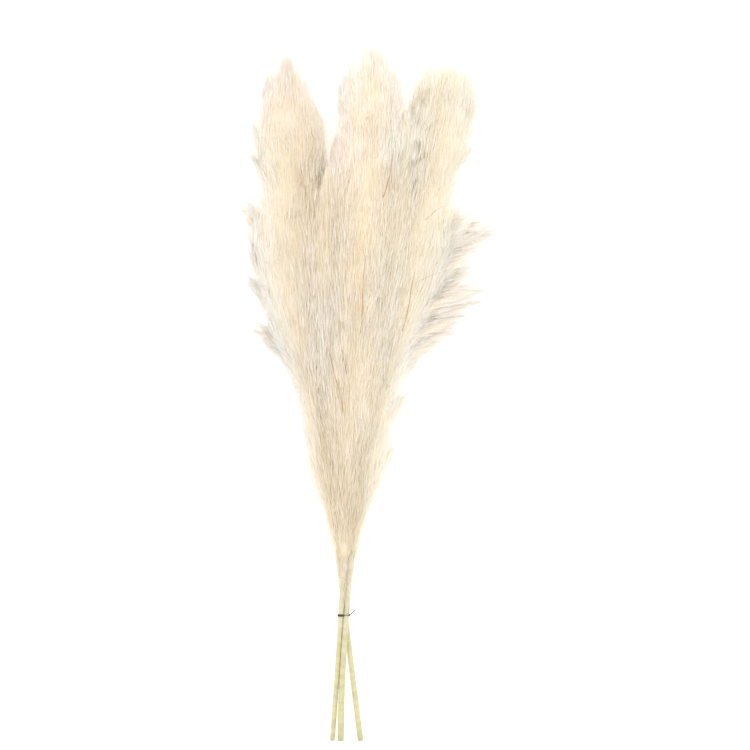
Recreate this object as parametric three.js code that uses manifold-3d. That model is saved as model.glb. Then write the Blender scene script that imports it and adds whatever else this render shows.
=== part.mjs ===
import * as THREE from "three";
import { mergeVertices } from "three/addons/utils/BufferGeometryUtils.js";
import Module from "manifold-3d";

const wasm = await Module();
wasm.setup();

// A bundle of three dried pampas grass plumes, lying on a table and tied once round the canes.
// Millimetres. The plumes point along +y and +z is up from the table. The shapes are laid out with
// the cut ends at y = 0 and the neck of the middle plume at x = 0, and then moved so that the
// origin is under the middle of the whole bundle.
const bundleMiddle = [37, 524];

// Canes, named for the plume that each carries
const footRadius = { left: 4.4, middle: 3.7, right: 4.7 };
const neckRadius = 3.7; // where a cane runs into its plume
const bevel = 0.5; // the worn edge of a cut end
const caneSides = 14;
const caneRings = 11;
const jointGap = 0.3; // between a cane and the plume that grows from it
const neckY = 276; // the canes end and the plumes start here

// Tie
const tieY = 193;
const tieWidth = 3.4; // along the canes, where the flat of the tie faces up
const tieEdge = 1.5; // along the canes, where the tie has turned on its edge
const tieThickness = 1.1;
const tieGap = 0.35; // between the tie and the canes
const tailLength = 13;
const tailPitch = 5.2; // one full turn of the two twisted ends
const strandRadius = 0.75;
const tailRings = 16;
const tailSides = 5;
const twistRadius = 0.64; // from the tail's middle to the middle of each strand
const tailHeading = [0.7, 0.66, 0.27]; // the way the tail points
const knotSide = [0.8, 0.6]; // the knot lies on the right cane, to the right and above
const pullRays = 24; // the ways in which the loop is pulled taut
const loopRings = 36;
const loopSides = 6;

// Plumes
const coreShare = 0.62; // the dense middle of a plume against its full radius
const coreSides = 10;
const coreRings = 17;
const coreEnd = 0.975; // share of the stem at which it comes to its point
const coreTaper = 0.3; // how much thinner than the neck it may get
const goldenAngle = Math.PI * (3 - Math.sqrt(5));
const clearance = 0.9; // from a plume's skin to the surface halfway to its neighbour
const pressed = 1.8; // how far the lowest sprays are flattened against the table

// Each stem as one line from the cut end, through the tie, to the tip of its plume.
const stemPoints = {
  left: [
    [23.4, 0, 4.45], [11.6, 97, 13.6], [0.2, 193, 23], [-4.4, 235, 27], [-8, 276, 31],
    [-26, 400, 39.5], [-46, 520, 47], [-66, 640, 53], [-77, 760, 57], [-81, 880, 54.5],
    [-86, 960, 49], [-88, 1034, 42],
  ],
  middle: [
    [-19.7, 1, 12], [-12.8, 97, 21.5], [-6.5, 193, 31.6], [-3.6, 235, 36], [-0.4, 276, 40.5],
    [5, 400, 55], [11, 520, 67.5], [19, 640, 78], [28, 760, 86], [35, 880, 87.5],
    [39, 970, 83], [42, 1048, 75],
  ],
  right: [
    [-6.8, 1, 15], [-4.5, 97, 23.4], [2, 193, 31.4], [5.2, 235, 34.6], [9.6, 276, 37.6],
    [28, 400, 44], [50, 520, 49], [78, 640, 53.5], [106, 760, 57], [131, 870, 54],
    [147, 950, 49], [158, 1022, 42],
  ],
};

// How far each plume reaches from its stem, by distance along the bundle.
const outline = {
  left: [
    [276, 4.5], [306, 5.5], [337, 9], [367, 15], [397, 22], [428, 27], [458, 26], [520, 24],
    [550, 28], [580, 34], [610, 42], [650, 50], [720, 61], [780, 62], [820, 52], [853, 45],
    [880, 50], [905, 52], [938, 50], [965, 42], [992, 35], [1011, 26], [1029, 17], [1040, 7],
  ],
  middle: [
    [276, 5], [306, 6], [337, 12], [380, 21], [450, 31], [520, 40], [590, 47], [660, 52],
    [720, 55], [800, 54], [880, 49], [940, 47], [990, 44], [1022, 40], [1038, 31], [1052, 14],
  ],
  right: [
    [276, 4.5], [306, 5.5], [337, 10], [367, 17], [397, 26], [428, 31], [458, 32], [520, 29],
    [560, 28], [590, 31], [650, 46], [720, 58], [780, 57], [820, 47], [853, 39], [890, 43],
    [920, 48], [974, 48], [1004, 46], [1022, 40],
  ],
};

// Sprays of one plume: how many, their longest and shortest reach along the stem, and the seed.
const sprayPlan = {
  left: { count: 64, longest: 235, shortest: 108, seed: 11 },
  middle: { count: 62, longest: 230, shortest: 100, seed: 29 },
  right: { count: 59, longest: 235, shortest: 104, seed: 53 },
};
const sprayWidth = 12.5; // half of the widest part
const sprayThickness = 8.5;
const lobeWidth = 11.5; // a lobe's sprays are round, so that they are as full from the side
const lance = [[0, 0], [0.58, 0.24], [1, 0.58], [0.82, 0.85], [0, 1]]; // half-width along a spray
const lanceSides = 4;
const firstTip = 95; // the lowest spray ends this far above the neck
const firstRoot = 12; // and starts this far above it
const crowding = 0.8; // under 1, so that the sprays stand closer towards the tip
const runRange = [0.85, 1.15];
const reachRange = [0.9, 1.12];
const widthRange = [0.85, 1.15];
const angleJitter = 0.35; // radians to either side
const slimmest = 0.35; // share of the full width that a spray at the neck has
const fullAt = 39; // a plume this wide has sprays of the full width

// Sprays that stand out of the outline as lobes of their own: where the tip is, how high, how long.
const lobes = {
  left: [
    [-140, 948, 50, 90], [-147, 902, 50, 95], [-156, 830, 54, 110], [-152, 784, 36, 100],
    [-149, 756, 50, 105], [-153, 714, 44, 100], [-145, 640, 40, 85], [-132, 618, 34, 80],
    [-90, 1041, 42, 100], [-104, 1024, 46, 95], [-73, 1018, 40, 95], [-84, 1030, 52, 95],
    [-118, 1009, 46, 95], [-123, 986, 50, 95], [-33, 905, 52, 115], [-28, 850, 54, 110],
  ],
  middle: [
    [-24, 930, 62, 130], [-14, 905, 80, 120], [26, 1044, 74, 100], [56, 1042, 76, 100],
    [41, 1050, 82, 100], [-3, 1002, 70, 110], [5, 1026, 78, 105], [-16, 812, 88, 120],
    [-31, 902, 66, 120], [-20, 858, 76, 115],
  ],
  right: [
    [243, 779, 52, 90], [230, 789, 60, 95], [217, 797, 42, 100], [204, 804, 62, 100],
    [190, 810, 50, 105], [176, 822, 46, 100], [218, 760, 70, 110], [198, 744, 30, 115],
    [196, 722, 56, 110], [227, 686, 44, 80], [206, 697, 76, 100], [190, 676, 28, 105],
    [190, 656, 56, 95], [184, 641, 34, 95], [164, 623, 46, 90], [142, 608, 38, 85],
    [119, 594, 46, 85], [200, 916, 48, 90], [197, 990, 46, 90], [88, 974, 46, 120],
    [82, 905, 50, 110], [84, 850, 54, 110], [118, 1014, 50, 110], [133, 1022, 46, 110],
    [150, 1023, 62, 100], [166, 1023, 34, 110], [182, 1021, 48, 110], [190, 1010, 40, 100],
    [99, 540, 42, 90], [78, 462, 44, 80],
  ],
};

// Working steps
const sampleCount = 300; // even points along a stem
const lengthDivisions = 600;
const halvings = 40; // to find where a stem passes a height
const clearingSteps = 60;
const clearingPull = 0.06; // share of the way to its stem that a crowded point moves each step
const weldDistance = 1e-4;
const plumeSimplify = 0.06; // mm, how far faces may move when they are merged
const tieSimplify = 0.01;

// A repeatable draw of numbers between 0 and 1.
function draw(seed) {
  let state = seed >>> 0;
  return () => {
    state = (state + 0x6d2b79f5) >>> 0;
    let t = state;
    t = Math.imul(t ^ (t >>> 15), t | 1);
    t ^= t + Math.imul(t ^ (t >>> 7), t | 61);
    return ((t ^ (t >>> 14)) >>> 0) / 2 ** 32;
  };
}

// The value at x of a line through the pairs.
function along(pairs, x) {
  if (x <= pairs[0][0]) return pairs[0][1];
  for (let i = 1; i < pairs.length; i++) {
    const [x0, v0] = pairs[i - 1];
    const [x1, v1] = pairs[i];
    if (x <= x1) return v0 + ((v1 - v0) * (x - x0)) / (x1 - x0);
  }
  return pairs[pairs.length - 1][1];
}

// A draw turned into a number of the range.
const inRange = ([low, high], drawn) => low + (high - low) * drawn;

const sides = ["left", "middle", "right"];
const stems = {};
const stemSamples = {};
for (const side of sides) {
  stems[side] = new THREE.CatmullRomCurve3(
    stemPoints[side].map((p) => new THREE.Vector3(...p)),
    false,
    "centripetal",
  );
  stems[side].arcLengthDivisions = lengthDivisions;
  stemSamples[side] = stems[side].getSpacedPoints(sampleCount);
}

// The share of a stem's length at which it passes y, which only grows along it.
function shareAt(side, y) {
  let low = 0;
  let high = 1;
  for (let i = 0; i < halvings; i++) {
    const half = (low + high) / 2;
    if (stems[side].getPointAt(half).y < y) low = half;
    else high = half;
  }
  return (low + high) / 2;
}

// The stem's point at a share of its length, with the sideways and the upward direction there.
function frameAt(side, share) {
  const at = Math.min(Math.max(share, 0), 1);
  const centre = stems[side].getPointAt(at);
  const ahead = stems[side].getTangentAt(at);
  const across = new THREE.Vector3().crossVectors(ahead, new THREE.Vector3(0, 0, 1)).normalize();
  const up = new THREE.Vector3().crossVectors(across, ahead);
  return { centre, ahead, across, up };
}

// The nearest point of a stem.
function nearest(side, point) {
  let best = Infinity;
  let found = null;
  for (const sample of stemSamples[side]) {
    const apart = sample.distanceToSquared(point);
    if (apart < best) {
      best = apart;
      found = sample;
    }
  }
  return { sample: found, apart: Math.sqrt(best) };
}

// Draws a point in towards its own stem until it is clear of the two other plumes.
function clearOfOthers(side, point, margin) {
  const own = nearest(side, point);
  const kept = point.clone();
  for (let i = 0; i < clearingSteps; i++) {
    const apart = kept.distanceTo(own.sample);
    const crowded = sides.some(
      (other) => other !== side && (nearest(other, kept).apart - apart) / 2 < margin,
    );
    if (!crowded) break;
    kept.lerp(own.sample, clearingPull);
  }
  return kept;
}

// A closed geometry as a solid that can be joined: corners welded, collapsed faces dropped.
function solidOf(geometry) {
  const plain = geometry.clone();
  plain.deleteAttribute("normal");
  plain.deleteAttribute("uv");
  const welded = mergeVertices(plain, weldDistance);
  const corners = [];
  const index = welded.index.array;
  for (let i = 0; i < index.length; i += 3) {
    const [a, b, c] = [index[i], index[i + 1], index[i + 2]];
    if (a !== b && b !== c && c !== a) corners.push(a, b, c);
  }
  return new wasm.Manifold(
    new wasm.Mesh({
      numProp: 3,
      vertProperties: Float32Array.from(welded.attributes.position.array),
      triVerts: Uint32Array.from(corners),
    }),
  );
}

// The solid with the closed pockets inside it filled in.
function filled(solid) {
  const shells = solid.decompose().filter((shell) => shell.volume() > 0);
  return shells.reduce((a, b) => (a.volume() > b.volume() ? a : b));
}

// Moves every corner of a turned shape, whose axis is y, to where place puts it.
function bend(geometry, place) {
  const position = geometry.attributes.position;
  for (let i = 0; i < position.count; i++) {
    const moved = place(position.getX(i), position.getY(i), position.getZ(i));
    position.setXYZ(i, moved.x, moved.y, moved.z);
  }
  return geometry;
}

// A cane: a turned rod with a worn edge at the cut end, bent along its stem.
function cane(side) {
  const neckShare = shareAt(side, neckY);
  const length = stems[side].getLength() * neckShare - jointGap / 2;
  const profile = [new THREE.Vector2(0, 0), new THREE.Vector2(footRadius[side] - bevel, 0)];
  for (let i = 0; i <= caneRings; i++) {
    const part = i / caneRings;
    const radius = footRadius[side] + (neckRadius - footRadius[side]) * part;
    profile.push(new THREE.Vector2(radius, bevel + (length - bevel) * part));
  }
  profile.push(new THREE.Vector2(0, length));
  const rod = new THREE.LatheGeometry(profile, caneSides);
  const whole = stems[side].getLength();
  return solidOf(
    bend(rod, (x, y, z) => {
      const { centre, across, up } = frameAt(side, y / whole);
      return centre.addScaledVector(across, x).addScaledVector(up, z);
    }),
  );
}

// One spray: a slender four-sided lance from the stem to its tip, wide across and thin outwards.
// It follows the plume's outline once it has left the stem, and a lobe reaches out of it at its tip.
function spray(side, from, to, reach, angle, width, thickness) {
  const fullness = (share) => along(outline[side], stems[side].getPointAt(Math.min(share, 1)).y);
  const beyond = reach - fullness(to);
  const shape = new THREE.LatheGeometry(lance.map(([r, t]) => new THREE.Vector2(r, t)), lanceSides);
  const lineAt = (t) => {
    const { centre, across, up } = frameAt(side, from + (to - from) * t);
    const outward = across.clone().multiplyScalar(Math.cos(angle));
    outward.addScaledVector(up, Math.sin(angle));
    const tangent = across.clone().multiplyScalar(-Math.sin(angle));
    tangent.addScaledVector(up, Math.cos(angle));
    const room = Math.min(fullness(from + (to - from) * t), Math.max(fullness(to), reach));
    const opening = room * (1 - (1 - t) ** 2) + beyond * t ** 2;
    const bulk = t > 0 && t < 1 ? width / 3 : 0;
    let point = centre.addScaledVector(outward, opening);
    point = clearOfOthers(side, point, clearance + bulk);
    point.z = Math.max(point.z, thickness / 3 - pressed);
    return { point, outward, tangent };
  };
  return solidOf(
    bend(shape, (x, y, z) => {
      const { point, outward, tangent } = lineAt(y);
      point.addScaledVector(tangent, -x * width).addScaledVector(outward, z * thickness);
      const placed = clearOfOthers(side, point, clearance);
      placed.z = Math.max(placed.z, -pressed);
      return placed;
    }),
  );
}

// The dense middle of a plume, thin where it leaves the cane and pointed at the tip.
function core(side) {
  const whole = stems[side].getLength();
  const start = shareAt(side, neckY) + jointGap / 2 / whole;
  const profile = [new THREE.Vector2(0, 0)];
  for (let i = 0; i < coreRings; i++) {
    const part = i / coreRings;
    const y = stems[side].getPointAt(start + (coreEnd - start) * part).y;
    const radius = Math.max(along(outline[side], y) * coreShare, neckRadius * (1 - part * coreTaper));
    profile.push(new THREE.Vector2(i === 0 ? neckRadius : radius, part));
  }
  profile.push(new THREE.Vector2(0, 1));
  return solidOf(
    bend(new THREE.LatheGeometry(profile, coreSides), (x, y, z) => {
      const { centre, across, up } = frameAt(side, start + (coreEnd - start) * y);
      const point = centre.addScaledVector(across, x).addScaledVector(up, z);
      const placed = y === 0 ? point : clearOfOthers(side, point, clearance);
      placed.z = Math.max(placed.z, 0);
      return placed;
    }),
  );
}

// A plume: its core with the sprays, set round the stem by the golden angle, fused to it.
function plume(side) {
  const { count, longest, shortest, seed } = sprayPlan[side];
  const random = draw(seed);
  const length = stems[side].getLength();
  const start = shareAt(side, neckY);
  const lowest = outline[side][0][0];
  const highest = stemPoints[side][stemPoints[side].length - 1][1];
  const solids = [core(side)];
  for (let i = 0; i < count; i++) {
    const rank = (i + random()) / count;
    const tipY = lowest + firstTip + (highest - lowest - firstTip) * Math.pow(rank, crowding);
    const to = shareAt(side, tipY);
    const part = (to - start) / (1 - start);
    const run = (longest + (shortest - longest) * part) * inRange(runRange, random());
    const from = Math.max(to - run / length, start + firstRoot / length);
    const fullness = along(outline[side], tipY);
    const reach = fullness * inRange(reachRange, random());
    const angle = i * goldenAngle + inRange([-angleJitter, angleJitter], random());
    const share = Math.min(1, slimmest + ((1 - slimmest) * fullness) / fullAt);
    const width = sprayWidth * share * inRange(widthRange, random());
    solids.push(spray(side, from, to, reach, angle, width, sprayThickness * share));
  }
  for (const [x, y, z, run] of lobes[side]) {
    const tip = new THREE.Vector3(x, y, z);
    const to = stemSamples[side].indexOf(nearest(side, tip).sample) / sampleCount;
    const { centre, across, up } = frameAt(side, to);
    const arm = tip.clone().sub(centre);
    const angle = Math.atan2(arm.dot(up), arm.dot(across));
    const from = to - run / length;
    solids.push(spray(side, from, to, arm.length(), angle, lobeWidth, lobeWidth));
  }
  const whole = wasm.Manifold.union(solids).trimByPlane([0, 0, 1], 0);
  return filled(whole.simplify(plumeSimplify));
}

// Where the tie crosses the canes: their centres and radii at its height.
function tieCircles() {
  return sides.map((side) => {
    const share = shareAt(side, tieY);
    const part = share / shareAt(side, neckY);
    return {
      centre: stems[side].getPointAt(share),
      radius: footRadius[side] + (neckRadius - footRadius[side]) * part,
    };
  });
}

// The tie: a flat band pulled round the three canes, its two ends twisted into a tail.
function tie() {
  const circles = tieCircles();
  const middle = circles
    .reduce((sum, c) => sum.add(c.centre), new THREE.Vector3())
    .multiplyScalar(1 / circles.length);
  const offset = tieGap + tieThickness / 2;
  // The support line of the canes in each direction gives a taut loop with straight runs between.
  const supports = [];
  for (let i = 0; i < pullRays; i++) {
    const angle = (i / pullRays) * Math.PI * 2;
    const ray = new THREE.Vector3(Math.cos(angle), 0, Math.sin(angle));
    const far = circles.reduce((a, b) =>
      a.centre.dot(ray) + a.radius > b.centre.dot(ray) + b.radius ? a : b,
    );
    supports.push(far.centre.clone().addScaledVector(ray, far.radius + offset));
  }
  const loopCurve = new THREE.CatmullRomCurve3(supports, true, "centripetal");
  const band = new THREE.TubeGeometry(loopCurve, loopRings, 1, loopSides, true);
  const position = band.attributes.position;
  const right = circles[sides.indexOf("right")];
  for (let i = 0; i < position.count; i++) {
    const ring = Math.floor(i / (loopSides + 1));
    const centre = loopCurve.getPointAt((ring % loopRings) / loopRings);
    const outward = centre.clone().sub(middle).setY(0).normalize();
    const away = new THREE.Vector3().fromBufferAttribute(position, i).sub(centre);
    const overRight = centre.x > right.centre.x - tieEdge && centre.z > right.centre.z;
    const width = overRight ? tieEdge : tieWidth;
    const lean = away.dot(outward);
    const moved = centre.setY(tieY + (away.y * width) / 2);
    moved.addScaledVector(outward, (lean * tieThickness) / 2);
    position.setXYZ(i, moved.x, moved.y, moved.z);
  }
  const knot = right.centre.clone();
  const knotReach = right.radius + offset + strandRadius;
  knot.x += knotReach * knotSide[0];
  knot.z += knotReach * knotSide[1];
  knot.y = tieY;
  const heading = new THREE.Vector3(...tailHeading).normalize();
  const sideways = new THREE.Vector3().crossVectors(heading, new THREE.Vector3(0, 0, 1)).normalize();
  const upright = new THREE.Vector3().crossVectors(sideways, heading);
  const strands = [0, Math.PI].map((phase) => {
    const points = [];
    for (let i = 0; i <= tailRings; i++) {
      const run = (i / tailRings) * tailLength;
      const turn = (run / tailPitch) * Math.PI * 2 + phase;
      points.push(
        knot.clone()
          .addScaledVector(heading, run)
          .addScaledVector(sideways, Math.cos(turn) * twistRadius)
          .addScaledVector(upright, Math.sin(turn) * twistRadius),
      );
    }
    const line = new THREE.CatmullRomCurve3(points);
    const cylinder = new THREE.CylinderGeometry(
      strandRadius, strandRadius, 1, tailSides, tailRings,
    );
    const frames = line.computeFrenetFrames(tailRings, false);
    return solidOf(
      bend(cylinder, (x, y, z) => {
        const step = Math.round((y + 0.5) * tailRings);
        const point = line.getPointAt(step / tailRings);
        return point
          .addScaledVector(frames.normals[step], z)
          .addScaledVector(frames.binormals[step], x);
      }),
    );
  });
  return filled(wasm.Manifold.union([solidOf(band), ...strands]).simplify(tieSimplify));
}

// A finished solid as a named mesh.
function meshOf(name, solid, colour, roughness) {
  const { vertProperties, triVerts, numProp } = solid.getMesh();
  const corners = [];
  for (let i = 0; i < vertProperties.length; i += numProp) {
    corners.push(vertProperties[i], vertProperties[i + 1], vertProperties[i + 2]);
  }
  const geometry = new THREE.BufferGeometry();
  geometry.setAttribute("position", new THREE.Float32BufferAttribute(corners, 3));
  geometry.setIndex(Array.from(triVerts));
  const flat = geometry.toNonIndexed();
  flat.computeVertexNormals();
  const mesh = new THREE.Mesh(flat, new THREE.MeshStandardMaterial({ color: colour, roughness }));
  mesh.name = name;
  return mesh;
}

const caneColour = 0xd9d2a4;
const tieColour = 0x35332c;
const caneRoughness = 0.6;
const tieRoughness = 0.5;
const plumeRoughness = 0.95;
const plumeColour = { left: 0xeaddc0, middle: 0xefe4d0, right: 0xebe0c8 };

const bundle = new THREE.Group();
bundle.name = "pampas_grass_bundle";
for (const side of sides) {
  bundle.add(meshOf(`cane_${side}`, cane(side), caneColour, caneRoughness));
  bundle.add(meshOf(`plume_${side}`, plume(side), plumeColour[side], plumeRoughness));
}
bundle.add(meshOf("tie", tie(), tieColour, tieRoughness));
bundle.position.set(-bundleMiddle[0], -bundleMiddle[1], 0);

export default bundle;
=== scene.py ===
import math

import bmesh
import bpy
import numpy as np
from mathutils import Matrix


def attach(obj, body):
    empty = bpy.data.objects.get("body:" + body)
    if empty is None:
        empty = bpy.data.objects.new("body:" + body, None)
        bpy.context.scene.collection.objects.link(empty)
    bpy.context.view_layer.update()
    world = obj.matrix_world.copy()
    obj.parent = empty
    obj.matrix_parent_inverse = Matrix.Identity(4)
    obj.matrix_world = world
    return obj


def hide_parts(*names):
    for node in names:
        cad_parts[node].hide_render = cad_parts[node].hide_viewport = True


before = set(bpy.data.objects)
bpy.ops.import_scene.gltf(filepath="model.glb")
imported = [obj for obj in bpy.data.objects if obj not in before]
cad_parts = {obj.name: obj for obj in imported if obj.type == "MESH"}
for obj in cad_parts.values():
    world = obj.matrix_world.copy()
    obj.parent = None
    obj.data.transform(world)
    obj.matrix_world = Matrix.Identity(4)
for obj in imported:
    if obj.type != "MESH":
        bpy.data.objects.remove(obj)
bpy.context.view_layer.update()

# A bundle of three dried pampas grass plumes, tied once round the canes and lying on a table.
# Shapes are worked out in millimetres from the cut ends, as in the frame, and moved to metres
# round the middle of the bundle when they are made.
scene = bpy.context.scene
bundleMiddle = np.array([37.0, 524.0, 0.0])
sides = ["left", "middle", "right"]

# The camera looks straight down on the table.
cameraLook = {
    "above": (0.0085, 0.0352),  # metres, the point in the middle of the picture
    "height": 4.0,
    "lens": 125.4,
}
camera = bpy.data.objects.new("camera", bpy.data.cameras.new("camera"))
camera.location = (*cameraLook["above"], cameraLook["height"])
camera.data.lens = cameraLook["lens"]
scene.collection.objects.link(camera)
scene.camera = camera
print("camera placed")


# From millimetres from the cut ends to metres round the middle of the bundle.
def toMetres(points):
    return (points - bundleMiddle) / 1000


# Each stem as one line from the cut end, through the tie, to the tip of its plume.
stemPoints = {
    "left": [
        (23.4, 0, 4.45), (11.6, 97, 13.6), (0.2, 193, 23), (-4.4, 235, 27), (-8, 276, 31),
        (-26, 400, 39.5), (-46, 520, 47), (-66, 640, 53), (-77, 760, 57), (-81, 880, 54.5),
        (-86, 960, 49), (-88, 1034, 42),
    ],
    "middle": [
        (-19.7, 1, 12), (-12.8, 97, 21.5), (-6.5, 193, 31.6), (-3.6, 235, 36), (-0.4, 276, 40.5),
        (5, 400, 55), (11, 520, 67.5), (19, 640, 78), (28, 760, 86), (35, 880, 87.5),
        (39, 970, 83), (42, 1048, 75),
    ],
    "right": [
        (-6.8, 1, 15), (-4.5, 97, 23.4), (2, 193, 31.4), (5.2, 235, 34.6), (9.6, 276, 37.6),
        (28, 400, 44), (50, 520, 49), (78, 640, 53.5), (106, 760, 57), (131, 870, 54),
        (147, 950, 49), (158, 1022, 42),
    ],
}

# How far each plume reaches from its stem, by distance along the bundle.
outline = {
    "left": [
        (276, 4.5), (306, 5.5), (337, 9), (367, 15), (397, 22), (428, 27), (458, 26), (520, 24),
        (550, 28), (580, 34), (610, 42), (650, 50), (720, 61), (780, 62), (820, 52), (853, 45),
        (880, 50), (905, 52), (938, 50), (965, 42), (992, 35), (1011, 26), (1029, 17), (1040, 7),
    ],
    "middle": [
        (276, 5), (306, 6), (337, 12), (380, 21), (450, 31), (520, 40), (590, 47), (660, 52),
        (720, 55), (800, 54), (880, 49), (940, 47), (990, 44), (1022, 40), (1038, 31), (1052, 14),
    ],
    "right": [
        (276, 4.5), (306, 5.5), (337, 10), (367, 17), (397, 26), (428, 31), (458, 32), (520, 29),
        (560, 28), (590, 31), (650, 46), (720, 58), (780, 57), (820, 47), (853, 39), (890, 43),
        (920, 48), (974, 48), (1004, 46), (1022, 40),
    ],
}

# Sprays that stand out of the outline as lobes of their own: tip x, y, z and run along the stem.
lobes = {
    "left": [
        (-140, 948, 50, 90), (-147, 902, 50, 95), (-156, 830, 54, 110), (-152, 784, 36, 100),
        (-149, 756, 50, 105), (-153, 714, 44, 100), (-145, 640, 40, 85), (-132, 618, 34, 80),
        (-90, 1041, 42, 100), (-104, 1024, 46, 95), (-73, 1018, 40, 95), (-84, 1030, 52, 95),
        (-118, 1009, 46, 95), (-123, 986, 50, 95), (-33, 905, 52, 115), (-28, 850, 54, 110),
    ],
    "middle": [
        (-24, 930, 62, 130), (-14, 905, 80, 120), (26, 1044, 74, 100), (56, 1042, 76, 100),
        (41, 1050, 82, 100), (-3, 1002, 70, 110), (5, 1026, 78, 105), (-16, 812, 88, 120),
        (-31, 902, 66, 120), (-20, 858, 76, 115),
    ],
    "right": [
        (243, 779, 52, 90), (230, 789, 60, 95), (217, 797, 42, 100), (204, 804, 62, 100),
        (190, 810, 50, 105), (176, 822, 46, 100), (218, 760, 70, 110), (198, 744, 30, 115),
        (196, 722, 56, 110), (227, 686, 44, 80), (206, 697, 76, 100), (190, 676, 28, 105),
        (190, 656, 56, 95), (184, 641, 34, 95), (164, 623, 46, 90), (142, 608, 38, 85),
        (119, 594, 46, 85), (200, 916, 48, 90), (197, 990, 46, 90), (88, 974, 46, 120),
        (82, 905, 50, 110), (84, 850, 54, 110), (118, 1014, 50, 110), (133, 1022, 46, 110),
        (150, 1023, 62, 100), (166, 1023, 34, 110), (182, 1021, 48, 110), (190, 1010, 40, 100),
        (99, 540, 42, 90), (78, 462, 44, 80),
    ],
}

# Tufts of hair that fill the corners of the tops: tip x, y, z and run along the stem.
tufts = {
    "left": [
        (-110, 1030, 44, 85), (-115, 1019, 46, 90), (-126, 975, 46, 90), (-94, 1016, 68, 80),
        (-78, 1000, 74, 80), (-46, 874, 82, 85), (-43, 842, 84, 85), (-40, 812, 86, 85),
    ],
    "middle": [(27, 1048, 76, 85), (55, 1046, 76, 85), (33, 1038, 102, 85), (50, 1030, 108, 85)],
    "right": [
        (186, 1023, 44, 95), (176, 1025, 48, 95), (204, 991, 46, 90), (198, 1004, 46, 90),
        (93, 902, 104, 95), (89, 884, 102, 95), (105, 950, 78, 85), (101, 930, 82, 85),
    ],
}

neckY = 276  # mm, the canes end and the plumes start here
goldenAngle = math.pi * (3 - math.sqrt(5))
sampleStep = 4  # every fourth point of a stem is a sample, for finding the nearest one
drawIn = {"tries": 60, "pull": 0.06}  # how points that crowd another plume are drawn in


# A repeatable draw of numbers between 0 and 1, the same as the frame's.
def drawing(seed):
    state = seed

    def nextOne():
        nonlocal state
        state = (state + 0x6D2B79F5) & 0xFFFFFFFF
        t = state
        t = ((t ^ (t >> 15)) * (t | 1)) & 0xFFFFFFFF
        t ^= (t + (((t ^ (t >> 7)) * (t | 61)) & 0xFFFFFFFF)) & 0xFFFFFFFF
        return (t ^ (t >> 14)) / 4294967296

    return nextOne


# A smooth line through the points, walked in even steps.
def smoothLine(points, steps=1200):
    p = np.array(points, float)
    p = np.vstack([2 * p[0] - p[1], p, 2 * p[-1] - p[-2]])
    gaps = np.sqrt(np.linalg.norm(np.diff(p, axis=0), axis=1))
    u = np.linspace(0, 1, 120, endpoint=False)[:, None]  # on each stretch between two points
    runs = []
    for i in range(1, len(p) - 2):
        a, b, c, d = p[i - 1:i + 3]
        g0, g1, g2 = gaps[i - 1:i + 2]
        out = ((b - a) / g0 - (c - a) / (g0 + g1) + (c - b) / g1) * g1
        into = ((c - b) / g1 - (d - b) / (g1 + g2) + (d - c) / g2) * g1
        runs.append(
            b + out * u + (3 * (c - b) - 2 * out - into) * u**2
            + (2 * (b - c) + out + into) * u**3
        )
    line = np.vstack(runs + [p[-2][None]])
    walked = np.concatenate([[0], np.cumsum(np.linalg.norm(np.diff(line, axis=0), axis=1))])
    even = np.linspace(0, walked[-1], steps + 1)
    return np.stack([np.interp(even, walked, line[:, k]) for k in range(3)], axis=1), walked[-1]


def unit(v):
    return v / np.linalg.norm(v, axis=-1, keepdims=True)


# 0 up to the start, 1 from the end on, and even in between. The end may be the lower of the two.
def ramp(value, start, end):
    return np.clip((value - start) / (end - start), 0, 1)


# Points so far across a line and so far up from it.
def beside(centre, across, up, x, y):
    return centre + across * x[:, None] + up * y[:, None]


# The way out from a line, at each angle round it.
def wayOut(across, up, angle):
    return across * np.cos(angle)[:, None] + up * np.sin(angle)[:, None]


stems = {}
for side in sides:
    points, length = smoothLine(stemPoints[side])
    stems[side] = {
        "points": points,
        "ahead": unit(np.gradient(points, axis=0)),
        "share": np.linspace(0, 1, len(points)),
        "length": length,
        "samples": points[::sampleStep],
    }


# The stem's point at each share of its length, and the ways ahead, across and up there.
def onStem(side, share):
    stem = stems[side]
    centre, ahead = (
        np.stack([np.interp(share, stem["share"], stem[name][:, k]) for k in range(3)], axis=-1)
        for name in ("points", "ahead")
    )
    ahead = unit(ahead)
    across = unit(np.cross(ahead, [0.0, 0.0, 1.0]))
    return centre, ahead, across, np.cross(across, ahead)


def shareAt(side, y):
    return np.interp(y, stems[side]["points"][:, 1], stems[side]["share"])


def fullness(side, y):
    pairs = np.array(outline[side], float)
    return np.interp(y, pairs[:, 0], pairs[:, 1])


# The nearest sample of a stem to each point, and how far off it is.
def nearest(side, points):
    samples = stems[side]["samples"]
    apart = (points**2).sum(1)[:, None] + (samples**2).sum(1) - 2 * points @ samples.T
    found = apart.argmin(axis=1)
    return found, np.sqrt(np.maximum(apart[np.arange(len(points)), found], 0))


# Draws points in towards their own stem until they are clear of the other plumes.
def clearOfOthers(side, points, margin):
    own = stems[side]["samples"][nearest(side, points)[0]]
    kept = points.copy()
    active = np.arange(len(points))
    for _ in range(drawIn["tries"]):
        apart = np.linalg.norm(kept[active] - own[active], axis=1)
        crowded = np.zeros(len(active), bool)
        for other in sides:
            if other != side:
                crowded |= (nearest(other, kept[active])[1] - apart) / 2 < margin[active]
        active = active[crowded]
        if not len(active):
            break
        kept[active] += (own[active] - kept[active]) * drawIn["pull"]
    return kept


# An sRGB hex colour as the linear one that Blender works with.
def linear(hexColour):
    values = [int(hexColour[i:i + 2], 16) / 255 for i in (1, 3, 5)]
    return [v / 12.92 if v <= 0.04045 else ((v + 0.055) / 1.055) ** 2.4 for v in values] + [1.0]


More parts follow.
